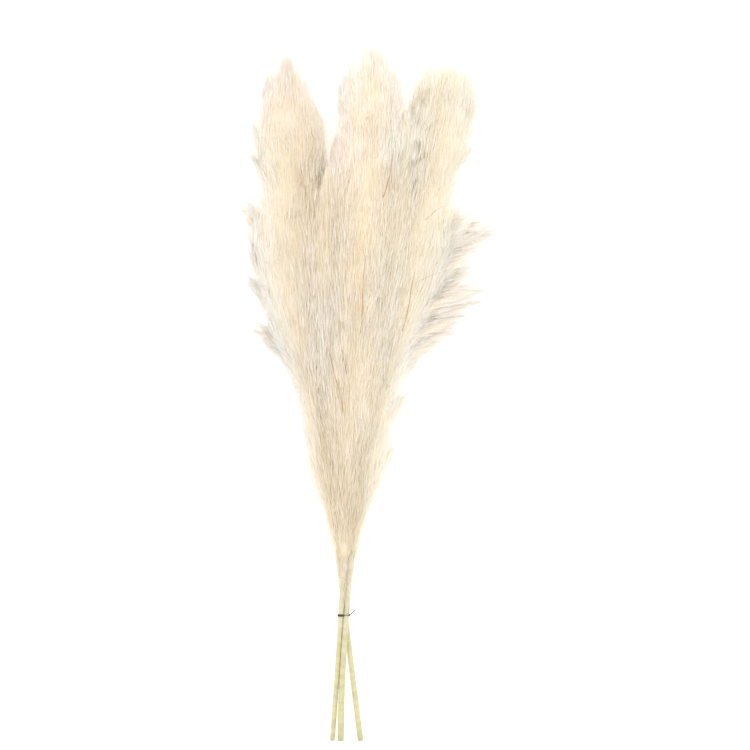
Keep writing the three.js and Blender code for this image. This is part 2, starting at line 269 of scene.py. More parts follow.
# Adds a node with its settings, and links its inputs to other nodes' outputs.
def addNode(tree, kind, settings=None, links=None):
    node = tree.nodes.new(kind)
    for name, value in (settings or {}).items():
        if isinstance(name, int) or name in node.inputs:
            node.inputs[name].default_value = value
        else:
            setattr(node, name, value)
    for name, source in (links or {}).items():
        tree.links.new(source, node.inputs[name])
    return node


def newMaterial(name):
    material = bpy.data.materials.new(name)
    material.use_nodes = True
    material.node_tree.nodes.clear()
    return material, material.node_tree


# Gives a colour ramp its stops, each a place from 0 to 1 and a hex colour.
def setStops(node, stops):
    elements = node.color_ramp.elements
    while len(elements) < len(stops):
        elements.new(0.5)
    for element, (place, colour) in zip(elements, stops):
        element.position = place
        element.color = linear(colour)


# Settings of a node that multiplies two colours: input 0 is the factor, 6 and 7 are the colours.
multiply = {"data_type": "RGBA", "blend_type": "MULTIPLY", 0: 1.0}


# Dried pampas seed hair: bleached silky cellulose, fine and dull with a slight silk sheen.
# The map's u is the lock's tone, from the warm inside of the plume to its pale outside, with two rosy
# tones at the end, and its v runs from the hair's root to its tip. The tone each lock gets is partly
# painted light and shade: warmer and darker deep in the plume, paler on its thin outside, and paler or
# greyer on its flanks.
hairTones = {
    "left": [(0.0, "#f2e9d2"), (0.3, "#f4ede0"), (0.55, "#f7f5f1"), (0.8, "#f0efee"), (0.9, "#f8f0ea")],
    "middle": [(0.0, "#f1e6ce"), (0.3, "#fbf5e7"), (0.55, "#faf8f4"), (0.8, "#f2f0ef"), (0.9, "#fbf3ee")],
    "right": [(0.0, "#f1e7d1"), (0.3, "#f8f4ea"), (0.55, "#f7f5ee"), (0.8, "#fdfcfa"), (0.9, "#faf6f3")],
    "fromRoot": [(0.0, "#fbf8f0"), (0.35, "#fefdfa"), (0.75, "#ffffff")],  # a little warmer at the root
}


def seedHair(side):
    material, tree = newMaterial("driedSeedHair" + side.capitalize())
    place = addNode(tree, "ShaderNodeUVMap", {"uv_map": "OFBake"})
    split = addNode(tree, "ShaderNodeSeparateXYZ", links={0: place.outputs[0]})
    tone = addNode(tree, "ShaderNodeValToRGB", links={0: split.outputs["X"]})
    setStops(tone, hairTones[side])
    root = addNode(tree, "ShaderNodeValToRGB", links={0: split.outputs["Y"]})
    setStops(root, hairTones["fromRoot"])
    colour = addNode(
        tree, "ShaderNodeMix", multiply, {6: tone.outputs[0], 7: root.outputs[0]},
    )
    shader = addNode(
        tree, "ShaderNodeBsdfPrincipled",
        {"Roughness": 0.6, "IOR": 1.53, "Sheen Weight": 0.3, "Sheen Roughness": 0.5},
        {"Base Color": colour.outputs[2]},
    )
    addNode(tree, "ShaderNodeOutputMaterial", links={"Surface": shader.outputs[0]})
    return material


# Straw, down and soft plastic, each a noise that gives its colours, bump and gloss. "drawnOut" makes
# fibres of the noise along the bundle, and "gloss" is the roughness from its dark to its pale parts.
grained = {
    # Dried branchlets: thin split straw, dull, with lengthwise fibres about 0.8 mm apart. Under the hair
    # they are pale buff. A bare one is brown: partly straw browned by the air, and partly painted shade,
    # a dark line where the hair has a thin shaded gap.
    "driedBranchlet": {
        "noise": {"Scale": 1250.0, "Detail": 3.0, "Roughness": 0.6}, "drawnOut": 0.03,
        "colours": [(0.3, "#ecdcba"), (0.5, "#f3e8cd"), (0.7, "#f9f1de")],
        "bump": {"Strength": 0.4, "Distance": 0.0001}, "gloss": (0.62, 0.62),
    },
    "brownedShadeLineBranchlet": {
        "noise": {"Scale": 1250.0, "Detail": 3.0, "Roughness": 0.6}, "drawnOut": 0.03,
        "colours": [(0.3, "#9c7a4e"), (0.5, "#b8935f"), (0.7, "#cfae7e")],
        "bump": {"Strength": 0.4, "Distance": 0.0001}, "gloss": (0.62, 0.62),
    },
    # Packed down: the inner hair of a plume, matted so close that it reads as one pale dull felt,
    # with lengthwise fibres about 1 mm apart.
    "packedSeedDown": {
        "noise": {"Scale": 1000.0, "Detail": 3.0}, "drawnOut": 0.06,
        "colours": [(0.3, "#f6f1e7"), (0.5, "#faf7f0"), (0.7, "#fcfbf7")],
        "bump": {"Strength": 0.3, "Distance": 0.0002}, "gloss": (0.85, 0.85),
    },
    # Twist tie: extruded soft PVC over a wire, dark brown-black and dull, with a grain about 0.6 mm
    # across. It is painted pale on its upper side where it turns on its edge, a painted highlight, and on
    # its twisted ends, painted light on the thin strands.
    "softPvc": {
        "noise": {"Scale": 1600.0, "Detail": 3.0}, "drawnOut": 1.0,
        "colours": [(0.35, "#2a2418"), (0.6, "#3a3222"), (0.8, "#5a4d34")],
        "bump": {"Strength": 0.3, "Distance": 0.00005}, "gloss": (0.4, 0.6),
    },
    "paintedHighlightPvc": {
        "noise": {"Scale": 1600.0, "Detail": 3.0}, "drawnOut": 1.0,
        "colours": [(0.35, "#b0a88d"), (0.6, "#cfc7ad"), (0.8, "#e3dcc5")],
        "bump": {"Strength": 0.3, "Distance": 0.00005}, "gloss": (0.4, 0.6),
    },
}


def grainedMaterial(name):
    look = grained[name]
    material, tree = newMaterial(name)
    place = addNode(tree, "ShaderNodeTexCoord")
    along = addNode(
        tree, "ShaderNodeMapping", {"Scale": (1.0, look["drawnOut"], 1.0)},
        {"Vector": place.outputs["Object"]},
    )
    noise = addNode(tree, "ShaderNodeTexNoise", look["noise"], {"Vector": along.outputs[0]})
    tone = addNode(tree, "ShaderNodeValToRGB", links={0: noise.outputs[0]})
    setStops(tone, look["colours"])
    least, most = look["gloss"]
    shine = addNode(
        tree, "ShaderNodeMapRange", {"To Min": least, "To Max": most}, {"Value": noise.outputs[0]},
    )
    bump = addNode(tree, "ShaderNodeBump", look["bump"], {"Height": noise.outputs[0]})
    shader = addNode(
        tree, "ShaderNodeBsdfPrincipled", {"IOR": 1.53},
        {"Base Color": tone.outputs[0], "Roughness": shine.outputs[0], "Normal": bump.outputs[0]},
    )
    addNode(tree, "ShaderNodeOutputMaterial", links={"Surface": shader.outputs[0]})
    return material


# Dried cane: the waxy skin of a bleached grass stem, satin, with fine lengthwise fibres and broad
# patches from buff to a greener straw. It is yellower below the tie and greener above it.
caneTones = {
    "fibres": [(0.3, "#c4bfa5"), (0.48, "#d9d5be"), (0.7, "#e5e2d0")],
    "patches": [(0.35, "#f3f4dc"), (0.65, "#fffaf2")],
    "upwards": [(0.0, "#fcfaec"), (0.6, "#ffffff"), (1.0, "#f9fdee")],
}


def driedCane():
    material, tree = newMaterial("driedCane")
    place = addNode(tree, "ShaderNodeTexCoord")
    along = addNode(
        tree, "ShaderNodeMapping", {"Scale": (1.0, 0.02, 1.0)}, {"Vector": place.outputs["Object"]},
    )
    fibres = addNode(  # fibres about 0.5 mm apart and 25 mm long
        tree, "ShaderNodeTexNoise", {"Scale": 2000.0, "Detail": 4.0, "Roughness": 0.65},
        {"Vector": along.outputs[0]},
    )
    patches = addNode(  # patches about 40 mm long
        tree, "ShaderNodeTexNoise", {"Scale": 25.0, "Detail": 2.0}, {"Vector": place.outputs["Object"]},
    )
    skin = addNode(tree, "ShaderNodeValToRGB", links={0: fibres.outputs[0]})
    setStops(skin, caneTones["fibres"])
    patch = addNode(tree, "ShaderNodeValToRGB", links={0: patches.outputs[0]})
    setStops(patch, caneTones["patches"])
    ripened = addNode(
        tree, "ShaderNodeMix", multiply, {6: skin.outputs[0], 7: patch.outputs[0]},
    )
    split = addNode(tree, "ShaderNodeSeparateXYZ", links={0: place.outputs["Object"]})
    height = addNode(  # from below the tie to above it, in metres along the bundle
        tree, "ShaderNodeMapRange", {"From Min": -0.38, "From Max": -0.29}, {"Value": split.outputs["Y"]},
    )
    upwards = addNode(tree, "ShaderNodeValToRGB", links={0: height.outputs[0]})
    setStops(upwards, caneTones["upwards"])
    colour = addNode(
        tree, "ShaderNodeMix", multiply, {6: ripened.outputs[2], 7: upwards.outputs[0]},
    )
    shine = addNode(
        tree, "ShaderNodeMapRange", {"To Min": 0.38, "To Max": 0.58}, {"Value": fibres.outputs[0]},
    )
    bump = addNode(
        tree, "ShaderNodeBump", {"Strength": 0.5, "Distance": 0.0001}, {"Height": fibres.outputs[0]},
    )
    shader = addNode(
        tree, "ShaderNodeBsdfPrincipled", {"IOR": 1.53},
        {"Base Color": colour.outputs[2], "Roughness": shine.outputs[0], "Normal": bump.outputs[0]},
    )
    addNode(tree, "ShaderNodeOutputMaterial", links={"Surface": shader.outputs[0]})
    return material


# Pith in the cut ends: a dry white sponge with cells about 0.4 mm wide, browned at the cut.
def dryPith():
    material, tree = newMaterial("dryPith")
    place = addNode(tree, "ShaderNodeTexCoord")
    cells = addNode(
        tree, "ShaderNodeTexVoronoi", {"Scale": 2500.0}, {"Vector": place.outputs["Object"]},
    )
    tone = addNode(tree, "ShaderNodeValToRGB", links={0: cells.outputs["Distance"]})
    setStops(tone, [(0.1, "#8d7b55"), (0.45, "#c9b98e"), (0.8, "#ded3ae")])
    bump = addNode(
        tree, "ShaderNodeBump", {"Strength": 0.7, "Distance": 0.0002},
        {"Height": cells.outputs["Distance"]},
    )
    shader = addNode(
        tree, "ShaderNodeBsdfPrincipled", {"Roughness": 0.9, "IOR": 1.5},
        {"Base Color": tone.outputs[0], "Normal": bump.outputs[0]},
    )
    addNode(tree, "ShaderNodeOutputMaterial", links={"Surface": shader.outputs[0]})
    return material


caneMaterial = driedCane()
pithMaterial = dryPith()
branchletMaterial = grainedMaterial("driedBranchlet")
shadeLineBranchletMaterial = grainedMaterial("brownedShadeLineBranchlet")
downMaterial = grainedMaterial("packedSeedDown")
tieMaterials = [grainedMaterial("softPvc"), grainedMaterial("paintedHighlightPvc")]
print("materials made")


# A closed rod of radius 1 along z from 0 to 1, to be bent and scaled along a line.
def rodMesh(name, around, rings):
    bm = bmesh.new()
    bmesh.ops.create_circle(bm, cap_ends=True, segments=around, radius=1)
    top = bm.faces[:]
    for _ in range(rings):
        made = bmesh.ops.extrude_face_region(bm, geom=top)["geom"]
        raised = [v for v in made if isinstance(v, bmesh.types.BMVert)]
        top = [f for f in made if isinstance(f, bmesh.types.BMFace)]
        bmesh.ops.translate(bm, vec=(0, 0, 1 / rings), verts=raised)
    bmesh.ops.recalc_face_normals(bm, faces=bm.faces)
    for face in bm.faces:
        face.smooth = len(face.verts) == 4
    mesh = bpy.data.meshes.new(name)
    bm.to_mesh(mesh)
    bm.free()
    return mesh


def coordinates(mesh):
    values = np.empty(len(mesh.vertices) * 3, np.float32)
    mesh.vertices.foreach_get("co", values)
    return values.reshape(-1, 3).astype(float)


# Moves a mesh's points to places that are given in millimetres from the cut ends.
def setPoints(mesh, placed):
    mesh.vertices.foreach_set("co", toMetres(placed).astype(np.float32).ravel())


# Links a finished mesh as a piece of the object that rides on the one body.
def asPiece(name, mesh, nodes, materials):
    piece = bpy.data.objects.new(name, mesh)
    scene.collection.objects.link(piece)
    mesh.materials.clear()
    for material in materials:
        mesh.materials.append(material)
    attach(piece, "root")
    if nodes:
        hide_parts(*nodes)


# The canes: bare stems with cut ends, each of which runs a little way into its plume.
caneLook = {
    "footRadius": {"left": 4.4, "middle": 3.7, "right": 4.7},  # mm
    "neckRadius": 3.9,
    "intoPlume": 28,  # mm
    "wornEdge": 0.5,  # mm, the rounded rim of a cut end
    "ridges": {"left": 9, "middle": 8, "right": 10},  # faint ribs round the stem
    "ridgeHeight": 0.1,  # mm
    "ragged": 0.35,  # mm, how uneven the cut is
    "pithShare": 0.74,  # of the stem's radius
    "pithDepth": 0.4,  # mm, how far it has shrunk in
    "pithRagged": 0.3,  # share of the rim's unevenness
    "around": 36,
    "rings": 56,
}


def makeCane(side):
    look = caneLook
    rings = look["rings"]
    mesh = rodMesh("cane_" + side + "_skin", look["around"], rings)
    bm = bmesh.new()
    bm.from_mesh(mesh)
    foot = next(f for f in bm.faces if len(f.verts) > 4 and f.calc_center_median().z < 0.5)
    bmesh.ops.inset_region(bm, faces=[foot], thickness=1 - look["pithShare"])
    for v in foot.verts:
        v.co.z = -1
    foot.material_index = 1
    bm.to_mesh(mesh)
    bm.free()
    rod = coordinates(mesh)
    whole = stems[side]["length"]
    reach = whole * shareAt(side, neckY) + look["intoPlume"]
    inPith = rod[:, 2] < -0.5
    part = np.clip(rod[:, 2], 0, 1)
    angle = np.arctan2(rod[:, 1], rod[:, 0])
    radius = look["footRadius"][side] + (look["neckRadius"] - look["footRadius"][side]) * part
    ribs = look["ridges"][side]
    # Two sets of ribs, the fainter one drifting past the other along the stem.
    fainter = 0.5 * np.cos((ribs + 3) * angle + 1.3 + 2 * part)
    ribbed = look["ridgeHeight"] * (np.cos(ribs * angle) + fainter)
    radius = (radius + ribbed) * np.hypot(rod[:, 0], rod[:, 1])
    onRim = (part == 0) & ~inPith
    radius[onRim] -= look["wornEdge"]
    firstRing = np.isclose(part, 1 / rings)
    distance = np.where(firstRing, look["wornEdge"], part * reach)
    uneven = look["ragged"] * (np.sin(3 * angle + ribs) + 0.6 * np.sin(7 * angle + 2 * ribs)) / 1.6
    distance = distance + uneven * (part < 0.5 / rings)
    distance[onRim] = np.maximum(distance[onRim], 0)
    distance[inPith] = look["pithDepth"] + uneven[inPith] * look["pithRagged"]
    centre, _, across, up = onStem(side, distance / whole)
    setPoints(mesh, beside(centre, across, up, radius * np.cos(angle), radius * np.sin(angle)))
    bm = bmesh.new()
    bm.from_mesh(mesh)
    bmesh.ops.recalc_face_normals(bm, faces=bm.faces)
    bm.to_mesh(mesh)
    bm.free()
    asPiece("cane_" + side + "_skin", mesh, ["cane_" + side], [caneMaterial, pithMaterial])


for side in sides:
    makeCane(side)
print("canes made")


# The tie: a flat strip with a wire in it, pulled round the three canes, turned on its edge over
# the right one, and its two ends twisted together.
tieLook = {  # mm, where nothing else is said
    "y": 194.2,  # along the bundle
    "turnedBy": 2.6,  # left of the right cane's middle, where the tie turns on its edge
    "turnOver": (1.5, 2),  # where that turn is half done, and how sharp it is per mm
    "width": 3.4,
    "edgeWidth": 0.7,  # where the tie has turned on its edge
    "thickness": 1.1,
    "wire": (0.55, 0.35),  # the rib over the wire: share of the thickness, and share of half the width
    "cornerRound": 0.8,
    "edgeRound": 0.7,
    "gap": 0.35,
    "around": 96,
    "section": 12,
    "rays": 24,  # directions in which the outermost cane is looked for
    "knot": (0.8, 0, 0.6),  # the way from the right cane's middle to the knot
    "tail": 13,
    "heading": (0.7, 0.66, 0.27),  # of the twisted ends
    "pitch": 5.2,  # of the twist
    "strand": 0.45,
    "strandOut": 0.85,  # shares of the strand: from the twist's middle, width and thickness
    "strandWide": 1.25,
    "strandThick": 0.7,
}


def makeTie():
    look = tieLook
    circles = {}
    for side in sides:
        share = shareAt(side, look["y"])
        part = share / shareAt(side, neckY)
        centre = onStem(side, np.array([share]))[0][0]
        foot = caneLook["footRadius"][side]
        circles[side] = (centre, foot + (caneLook["neckRadius"] - foot) * part)
    middle = sum(centre for centre, _ in circles.values()) / len(circles)
    offset = look["gap"] + look["thickness"] / 2
    turned = circles["right"][0] - np.array([look["turnedBy"], 0, 0])
    early, sharp = look["turnOver"]
    ribShare, ribWide = look["wire"]
    # A ring by one spin of a round section, then flattened and pulled taut over the canes.
    ringRadius = 10
    bm = bmesh.new()
    bmesh.ops.create_circle(bm, cap_ends=False, segments=look["section"], radius=1)
    bmesh.ops.rotate(bm, verts=bm.verts, matrix=Matrix.Rotation(math.pi / 2, 3, "X"))
    bmesh.ops.translate(bm, verts=bm.verts, vec=(ringRadius, 0, 0))
    bmesh.ops.spin(
        bm, geom=bm.verts[:] + bm.edges[:], cent=(0, 0, 0), axis=(0, 0, 1),
        angle=math.tau, steps=look["around"], use_merge=True,
    )
    supports = []
    for angle in np.linspace(0, math.tau, look["rays"], endpoint=False):
        ray = np.array([math.cos(angle), 0, math.sin(angle)])
        centre, radius = max(circles.values(), key=lambda c: c[0] @ ray + c[1])
        supports.append(centre + ray * (radius + offset))
    supports = np.array(supports)
    loop, _ = smoothLine(np.vstack([supports, supports[:1]]), 600)
    loopAngle = np.unwrap(np.arctan2(loop[:, 2] - middle[2], loop[:, 0] - middle[0]))
    for v in bm.verts:
        angle = math.atan2(v.co.y, v.co.x)
        out = math.hypot(v.co.x, v.co.y) - ringRadius
        while angle < loopAngle[0]:
            angle += math.tau
        while angle > loopAngle[-1]:
            angle -= math.tau
        spot = np.array([np.interp(angle, loopAngle, loop[:, k]) for k in range(3)])
        outward = unit((spot - middle) * [1, 0, 1])
        onEdge = 1 / (1 + math.exp(-(spot[0] - turned[0] + early) * sharp)) if spot[2] > turned[2] else 0
        width = look["width"] + (look["edgeWidth"] - look["width"]) * onEdge
        # A strip with a wire down its middle: flat edges and a rib along the centre line.
        rib = look["thickness"] / 2 * (1 - ribShare + ribShare * math.exp(-((v.co.z / ribWide) ** 2)))
        lean = math.copysign(min(abs(out) / look["cornerRound"], 1), out) * rib
        flat = math.copysign(min(abs(v.co.z) ** look["edgeRound"], 1), v.co.z) * width / 2
        v.co = toMetres(spot + outward * lean + np.array([0, flat, 0])).tolist()
    # A painted highlight: pale on its upper side from 1 mm before the turn.
    highlightFrom = toMetres(turned - np.array([1, 0, 0]))
    for face in bm.faces:
        centre = face.calc_center_median()
        face.material_index = int(centre.x > highlightFrom[0] and centre.z > highlightFrom[2])
    ringFaces = len(bm.faces)
    mesh = bpy.data.meshes.new("tie_strip")
    right, rightRadius = circles["right"]
    knot = right + np.array(look["knot"]) * (rightRadius + offset + look["strand"])
    knot[1] = look["y"]
    heading = unit(np.array(look["heading"]))
    sideways = unit(np.cross(heading, [0, 0, 1]))
    upright = np.cross(sideways, heading)
    rod = rodMesh("tie_strand", 8, 40)
    shape = coordinates(rod)
    run = shape[:, 2] * look["tail"]
    for phase in (0, math.pi):
        turn = run / look["pitch"] * math.tau + phase
        # Each strand is a flat strip that turns with the twist.
        radial = wayOut(sideways, upright, turn)
        tangent = -sideways * np.sin(turn)[:, None] + upright * np.cos(turn)[:, None]
        line = knot + heading * run[:, None] + radial * (look["strand"] * look["strandOut"])
        thin = shape[:, 1] * look["strand"] * look["strandThick"]
        flat = shape[:, 0] * look["strand"] * look["strandWide"]
        setPoints(rod, beside(line, radial, tangent, thin, flat))
        bm.from_mesh(rod)
    bmesh.ops.recalc_face_normals(bm, faces=bm.faces)
    # The twisted ends take the pale painted light as well.
    for i, face in enumerate(bm.faces):
        face.smooth = True
        if i >= ringFaces:
            face.material_index = 1
    bm.to_mesh(mesh)
    bm.free()
    asPiece("tie_strip", mesh, ["tie"], tieMaterials)


makeTie()
print("tie made")


# The plumes. Their sprays are the frame's: the same rule, the same draws and the same numbers.
sprayLook = {
    "left": {"count": 64, "longest": 235, "shortest": 108, "seed": 11},  # mm along the stem
    "middle": {"count": 62, "longest": 230, "shortest": 100, "seed": 29},
    "right": {"count": 59, "longest": 235, "shortest": 104, "seed": 53},
    "firstTip": 95,  # mm from the neck to the lowest spray's tip
    "tipSpread": 0.8,  # under 1 puts more of the tips high up
    "clearOfNeck": 12,  # mm
    "run": (0.85, 0.3),  # the least share of the usual, and how much a draw adds to it
    "reach": (0.9, 0.22),
    "widthVaries": (0.85, 0.3),
    "turn": 0.7,  # radians, how far a spray may stand off its place in the spiral
    "slender": (0.35, 60),  # the least share of the width, and mm of fullness that add all of it
    "width": 12.5,
    "thickness": 8.5,
    "lobeWidth": 11.5,
    "clearance": 0.9,  # mm from the next plume
    "linePoints": 28,
    # How wide a spray and a lobe are along their run, as a share of their widest part.
    "sprayProfile": [(0, 0.1), (0.24, 0.6), (0.58, 1), (0.85, 0.9), (1, 0.35)],
    "lobeProfile": [(0, 0.3), (0.3, 1), (0.6, 1.1), (0.85, 0.75), (1, 0.15)],
}


# One row for each spray: where on the stem it begins and ends, reach, angle, width, thickness and
# whether it is a lobe.
def spraysOf(side):
    look = sprayLook[side]
    random = drawing(look["seed"])

    def varied(name):
        least, more = sprayLook[name]
        return least + more * random()

    length = stems[side]["length"]
    start = shareAt(side, neckY)
    lowest, highest = outline[side][0][0] + sprayLook["firstTip"], stemPoints[side][-1][1]
    least, full = sprayLook["slender"]
    rows = []
    for i in range(look["count"]):
        rank = (i + random()) / look["count"]
        tipY = lowest + (highest - lowest) * rank ** sprayLook["tipSpread"]
        to = shareAt(side, tipY)
        part = (to - start) / (1 - start)
        run = (look["longest"] + (look["shortest"] - look["longest"]) * part) * varied("run")
        begin = max(to - run / length, start + sprayLook["clearOfNeck"] / length)
        reach = fullness(side, tipY) * varied("reach")
        angle = i * goldenAngle + (random() - 0.5) * sprayLook["turn"]
        wide = min(1, least + fullness(side, tipY) / full)
        width = sprayLook["width"] * wide * varied("widthVaries")
        rows.append((begin, to, reach, angle, width, sprayLook["thickness"] * wide, 0))
    rows += [lobeRow(side, lobe, sprayLook["lobeWidth"]) for lobe in lobes[side]]
    return np.array(rows)


def lobeRow(side, lobe, width):
    tip = np.array([lobe[:3]], float)
    to = nearest(side, tip)[0][0] * sampleStep / (len(stems[side]["points"]) - 1)
    centre, _, across, up = onStem(side, np.array([to]))
    arm = tip[0] - centre[0]
    angle = math.atan2(arm @ up[0], arm @ across[0])
    begin = to - lobe[3] / stems[side]["length"]
    return (begin, to, np.linalg.norm(arm), angle, width, width, 1)


# Finer lobes beside each lobe, so that its edge is feathered, and the tufts. From and to are how
# far the tip's x, y and z and the run may be from the lobe's.
finerLook = {  # mm
    "count": 2, "from": (-8, -17, -13, -15), "to": (8, 3, 13, 15), "lowest": 20, "width": 8,
}


def finerLobes(side, rng):
    look = finerLook
    rows = []
    for lobe in lobes[side]:
        for _ in range(look["count"]):
            moved = np.array(lobe, float) + rng.uniform(look["from"], look["to"])
            moved[2] = max(moved[2], look["lowest"])
            rows.append(lobeRow(side, moved, look["width"]))
    rows += [lobeRow(side, tuft, look["width"]) for tuft in tufts[side]]
    return np.array(rows)


# The line of each spray from the stem to its tip, with the ways outward and sideways along it.
def sprayLines(side, rows):
    begin, to, reach, angle, width, thickness, _ = rows.T
    points = sprayLook["linePoints"]
    t = np.linspace(0, 1, points)[None, :]
    centre, _, across, up = onStem(side, begin[:, None] + (to - begin)[:, None] * t)
    cosine, sine = np.cos(angle)[:, None, None], np.sin(angle)[:, None, None]
    outward = across * cosine + up * sine
    atEnd = fullness(side, onStem(side, to)[0][:, 1])
    room = np.minimum(fullness(side, centre[..., 1]), np.maximum(atEnd, reach)[:, None])
    opening = room * (1 - (1 - t) ** 2) + (reach - atEnd)[:, None] * t**2
    line = centre + outward * opening[..., None]
    # A spray may sink a third of its width into the next one, and of its thickness into the table.
    margin = np.repeat(sprayLook["clearance"] + width / 3, points)
    line = clearOfOthers(side, line.reshape(-1, 3), margin).reshape(line.shape)
    line[..., 2] = np.maximum(line[..., 2], thickness[:, None] / 3)
    return line, outward, up * cosine - across * sine


lockLook = {
    "tones": 12,
    "rosyTones": 2,  # the last of the tones
    "shapes": 6,
    "tight": 2,  # the first of the shapes are tight locks, for the points of the sprays
    "hairs": 10,
    "length": (17, 28),  # mm
    "radius": 0.29,  # mm: a real hair is far finer, and this is as coarse as it needs to show
    "radiusVaries": (0.8, 1.15),
    "rootSpread": (8.5, 1.8),  # mm, how far apart the hairs of a loose and of a tight lock start
    "setBack": (-0.4, 0.15),  # share of its length that a hair starts further back or on
    "awayVaries": (0.2, 0.8),  # share of a step in the spiral on which the hairs start
    "rollVaries": 0.4,  # radians
    "spread": (0.1, 0.03),  # radians, how far hairs lean away from the middle of the lock
    "spreadVaries": (0.5, 1.3),
    "seed": 100,
    "uvMargin": 0.03,  # on the map: the margin at a hair's ends, and half its width and thickness
    "uvHalf": (0.025, 0.02),
}


# One lock of hairs that ends at the origin and points along z. Each hair is a long point on
# three sides.
def lockMesh(tone, shape):
    look = lockLook
    rng = np.random.default_rng(look["seed"] + shape)
    isTight = int(shape < look["tight"])
    margin = look["uvMargin"]
    halfWide, halfThick = look["uvHalf"]
    bm = bmesh.new()
    bm.loops.layers.uv.new("OFBake")
    u = (tone + 0.5) / look["tones"]
    for i in range(look["hairs"]):
        length = rng.uniform(*look["length"]) / 1000
        radius = look["radius"] / 1000 * rng.uniform(*look["radiusVaries"])
        away = math.sqrt((i + rng.uniform(*look["awayVaries"])) / look["hairs"])
        roll = i * goldenAngle + rng.uniform(-look["rollVaries"], look["rollVaries"])
        hair = bmesh.new()
        bmesh.ops.create_cone(
            hair, cap_ends=True, segments=3, radius1=radius, radius2=0, depth=length,
        )
        bmesh.ops.translate(hair, verts=hair.verts, vec=(0, 0, length / 2))
        hairUv = hair.loops.layers.uv.new("OFBake")
        # The tip's u is the middle of its face's root corners, so that each face has some width.
        for face in hair.faces:
            rootLoops = [l for l in face.loops if l.vert.co.z < length / 2]
            for loop in face.loops:
                near = [loop] if loop in rootLoops else rootLoops
                x = sum(l.vert.co.x for l in near) / len(near) / radius
                y = loop.vert.co.y / radius if loop in rootLoops else 0
                v = margin + halfThick * y + (1 - 2 * margin) * loop.vert.co.z / length
                loop[hairUv].uv = (u + halfWide * x, v)
        start = look["rootSpread"][isTight] / 1000 * away
        back = rng.uniform(*look["setBack"]) * length
        lean = look["spread"][isTight] * away * rng.uniform(*look["spreadVaries"])
        turned = (
            Matrix.Rotation(roll, 4, "Z")
            @ Matrix.Translation((start, 0, back - length))
            @ Matrix.Rotation(lean, 4, "Y")
        )
        bmesh.ops.transform(hair, matrix=turned, verts=hair.verts)
        mesh = bpy.data.meshes.new("hair")
        hair.to_mesh(mesh)
        hair.free()
        bm.from_mesh(mesh)
        bpy.data.meshes.remove(mesh)
    mesh = bpy.data.meshes.new("lock")
    bm.to_mesh(mesh)
    bm.free()
    return mesh


locks = [
    [lockMesh(tone, shape) for shape in range(lockLook["shapes"])] for tone in range(lockLook["tones"])
]
print("locks made")


stalkLook = {
    "radius": (0.75, 0.22),  # mm at the root and at the tip
    "to": 0.9,  # share of the spray's run where its branchlet ends
    "core": 0.76,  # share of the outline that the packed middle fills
    "coreTo": 0.99,  # share of the stem where it ends
    "coreDome": 0.08,  # share of its length over which it rounds off
    "coreLeast": (3.7, 0.8),  # mm, its least radius at the neck, and how much of that it loses upwards
    "coreEnds": (3.6, 0.6),  # mm, its radius at the neck and at the tip
    "coreAround": 16,
    "coreRings": 40,
    "floor": 1.0,  # mm above the table
}
padLook = {
    "from": 0.08,  # shares of a lobe's run and width
    "to": 0.84,
    "share": 0.55,
    "around": 8,
    "rings": 8,
    "closed": 0.03,  # how far from a full round its ends are
    "inValley": (20, 16),  # mm, how far it starts and ends inside the valley
    "valleyWide": 0.5,  # shares of the two plumes' fullness there
    "valleyThick": 0.25,
    "valleySunk": 5,  # mm under the hair that is sunk furthest
    "valleyAround": 12,
    "valleyRings": 30,
    "valleyClosed": 0.01,
}
# Where an outer plume and the middle one have grown into each other, and the locks that bridge it.
valleyLook = {
    "left": {"from": 330, "to": 888, "depth": 11, "locks": 1080},  # mm
    "right": {"from": 330, "to": 972, "depth": 9, "locks": 1260},
    "part": (0.05, 0.9),  # of the way from the outer plume's top to the middle one's
    "outerSkin": 0.95,  # shares of the fullness where the skins of the plumes are
    "innerSkin": 0.93,
    "skin": 0.94,
    "sunken": 1.6,  # over 1 keeps more of the locks near the skin
    "mouth": (40, 8),  # mm: the valley's last stretch, and how much deeper it gets there
    "lean": 0.09,  # how far the locks' ways differ
    "rise": 0.1,  # how far they point up
}


# Lays a rod along a path. t says how far along the path each of its points is.
def layAlong(rod, shape, path, t, wide, thick):
    steps = np.linspace(0, 1, len(path))
    centre = np.stack([np.interp(t, steps, path[:, k]) for k in range(3)], axis=1)
    ahead = unit(np.stack([np.interp(t, steps, np.gradient(path[:, k])) for k in range(3)], axis=1))
    across = unit(np.cross(ahead, [0.02, 0.03, 1.0]))  # nearly up, and never quite along a path
    placed = beside(centre, across, np.cross(across, ahead), shape[:, 0] * wide, shape[:, 1] * thick)
    placed[:, 2] = np.maximum(placed[:, 2], stalkLook["floor"])
    setPoints(rod, placed)


# How full a pad is along its length: all of it in the middle, and closed at its ends.
def rounded(along, closed):
    return np.sqrt(np.clip(np.sin(math.pi * (closed + (1 - 2 * closed) * along)), 0, 1))


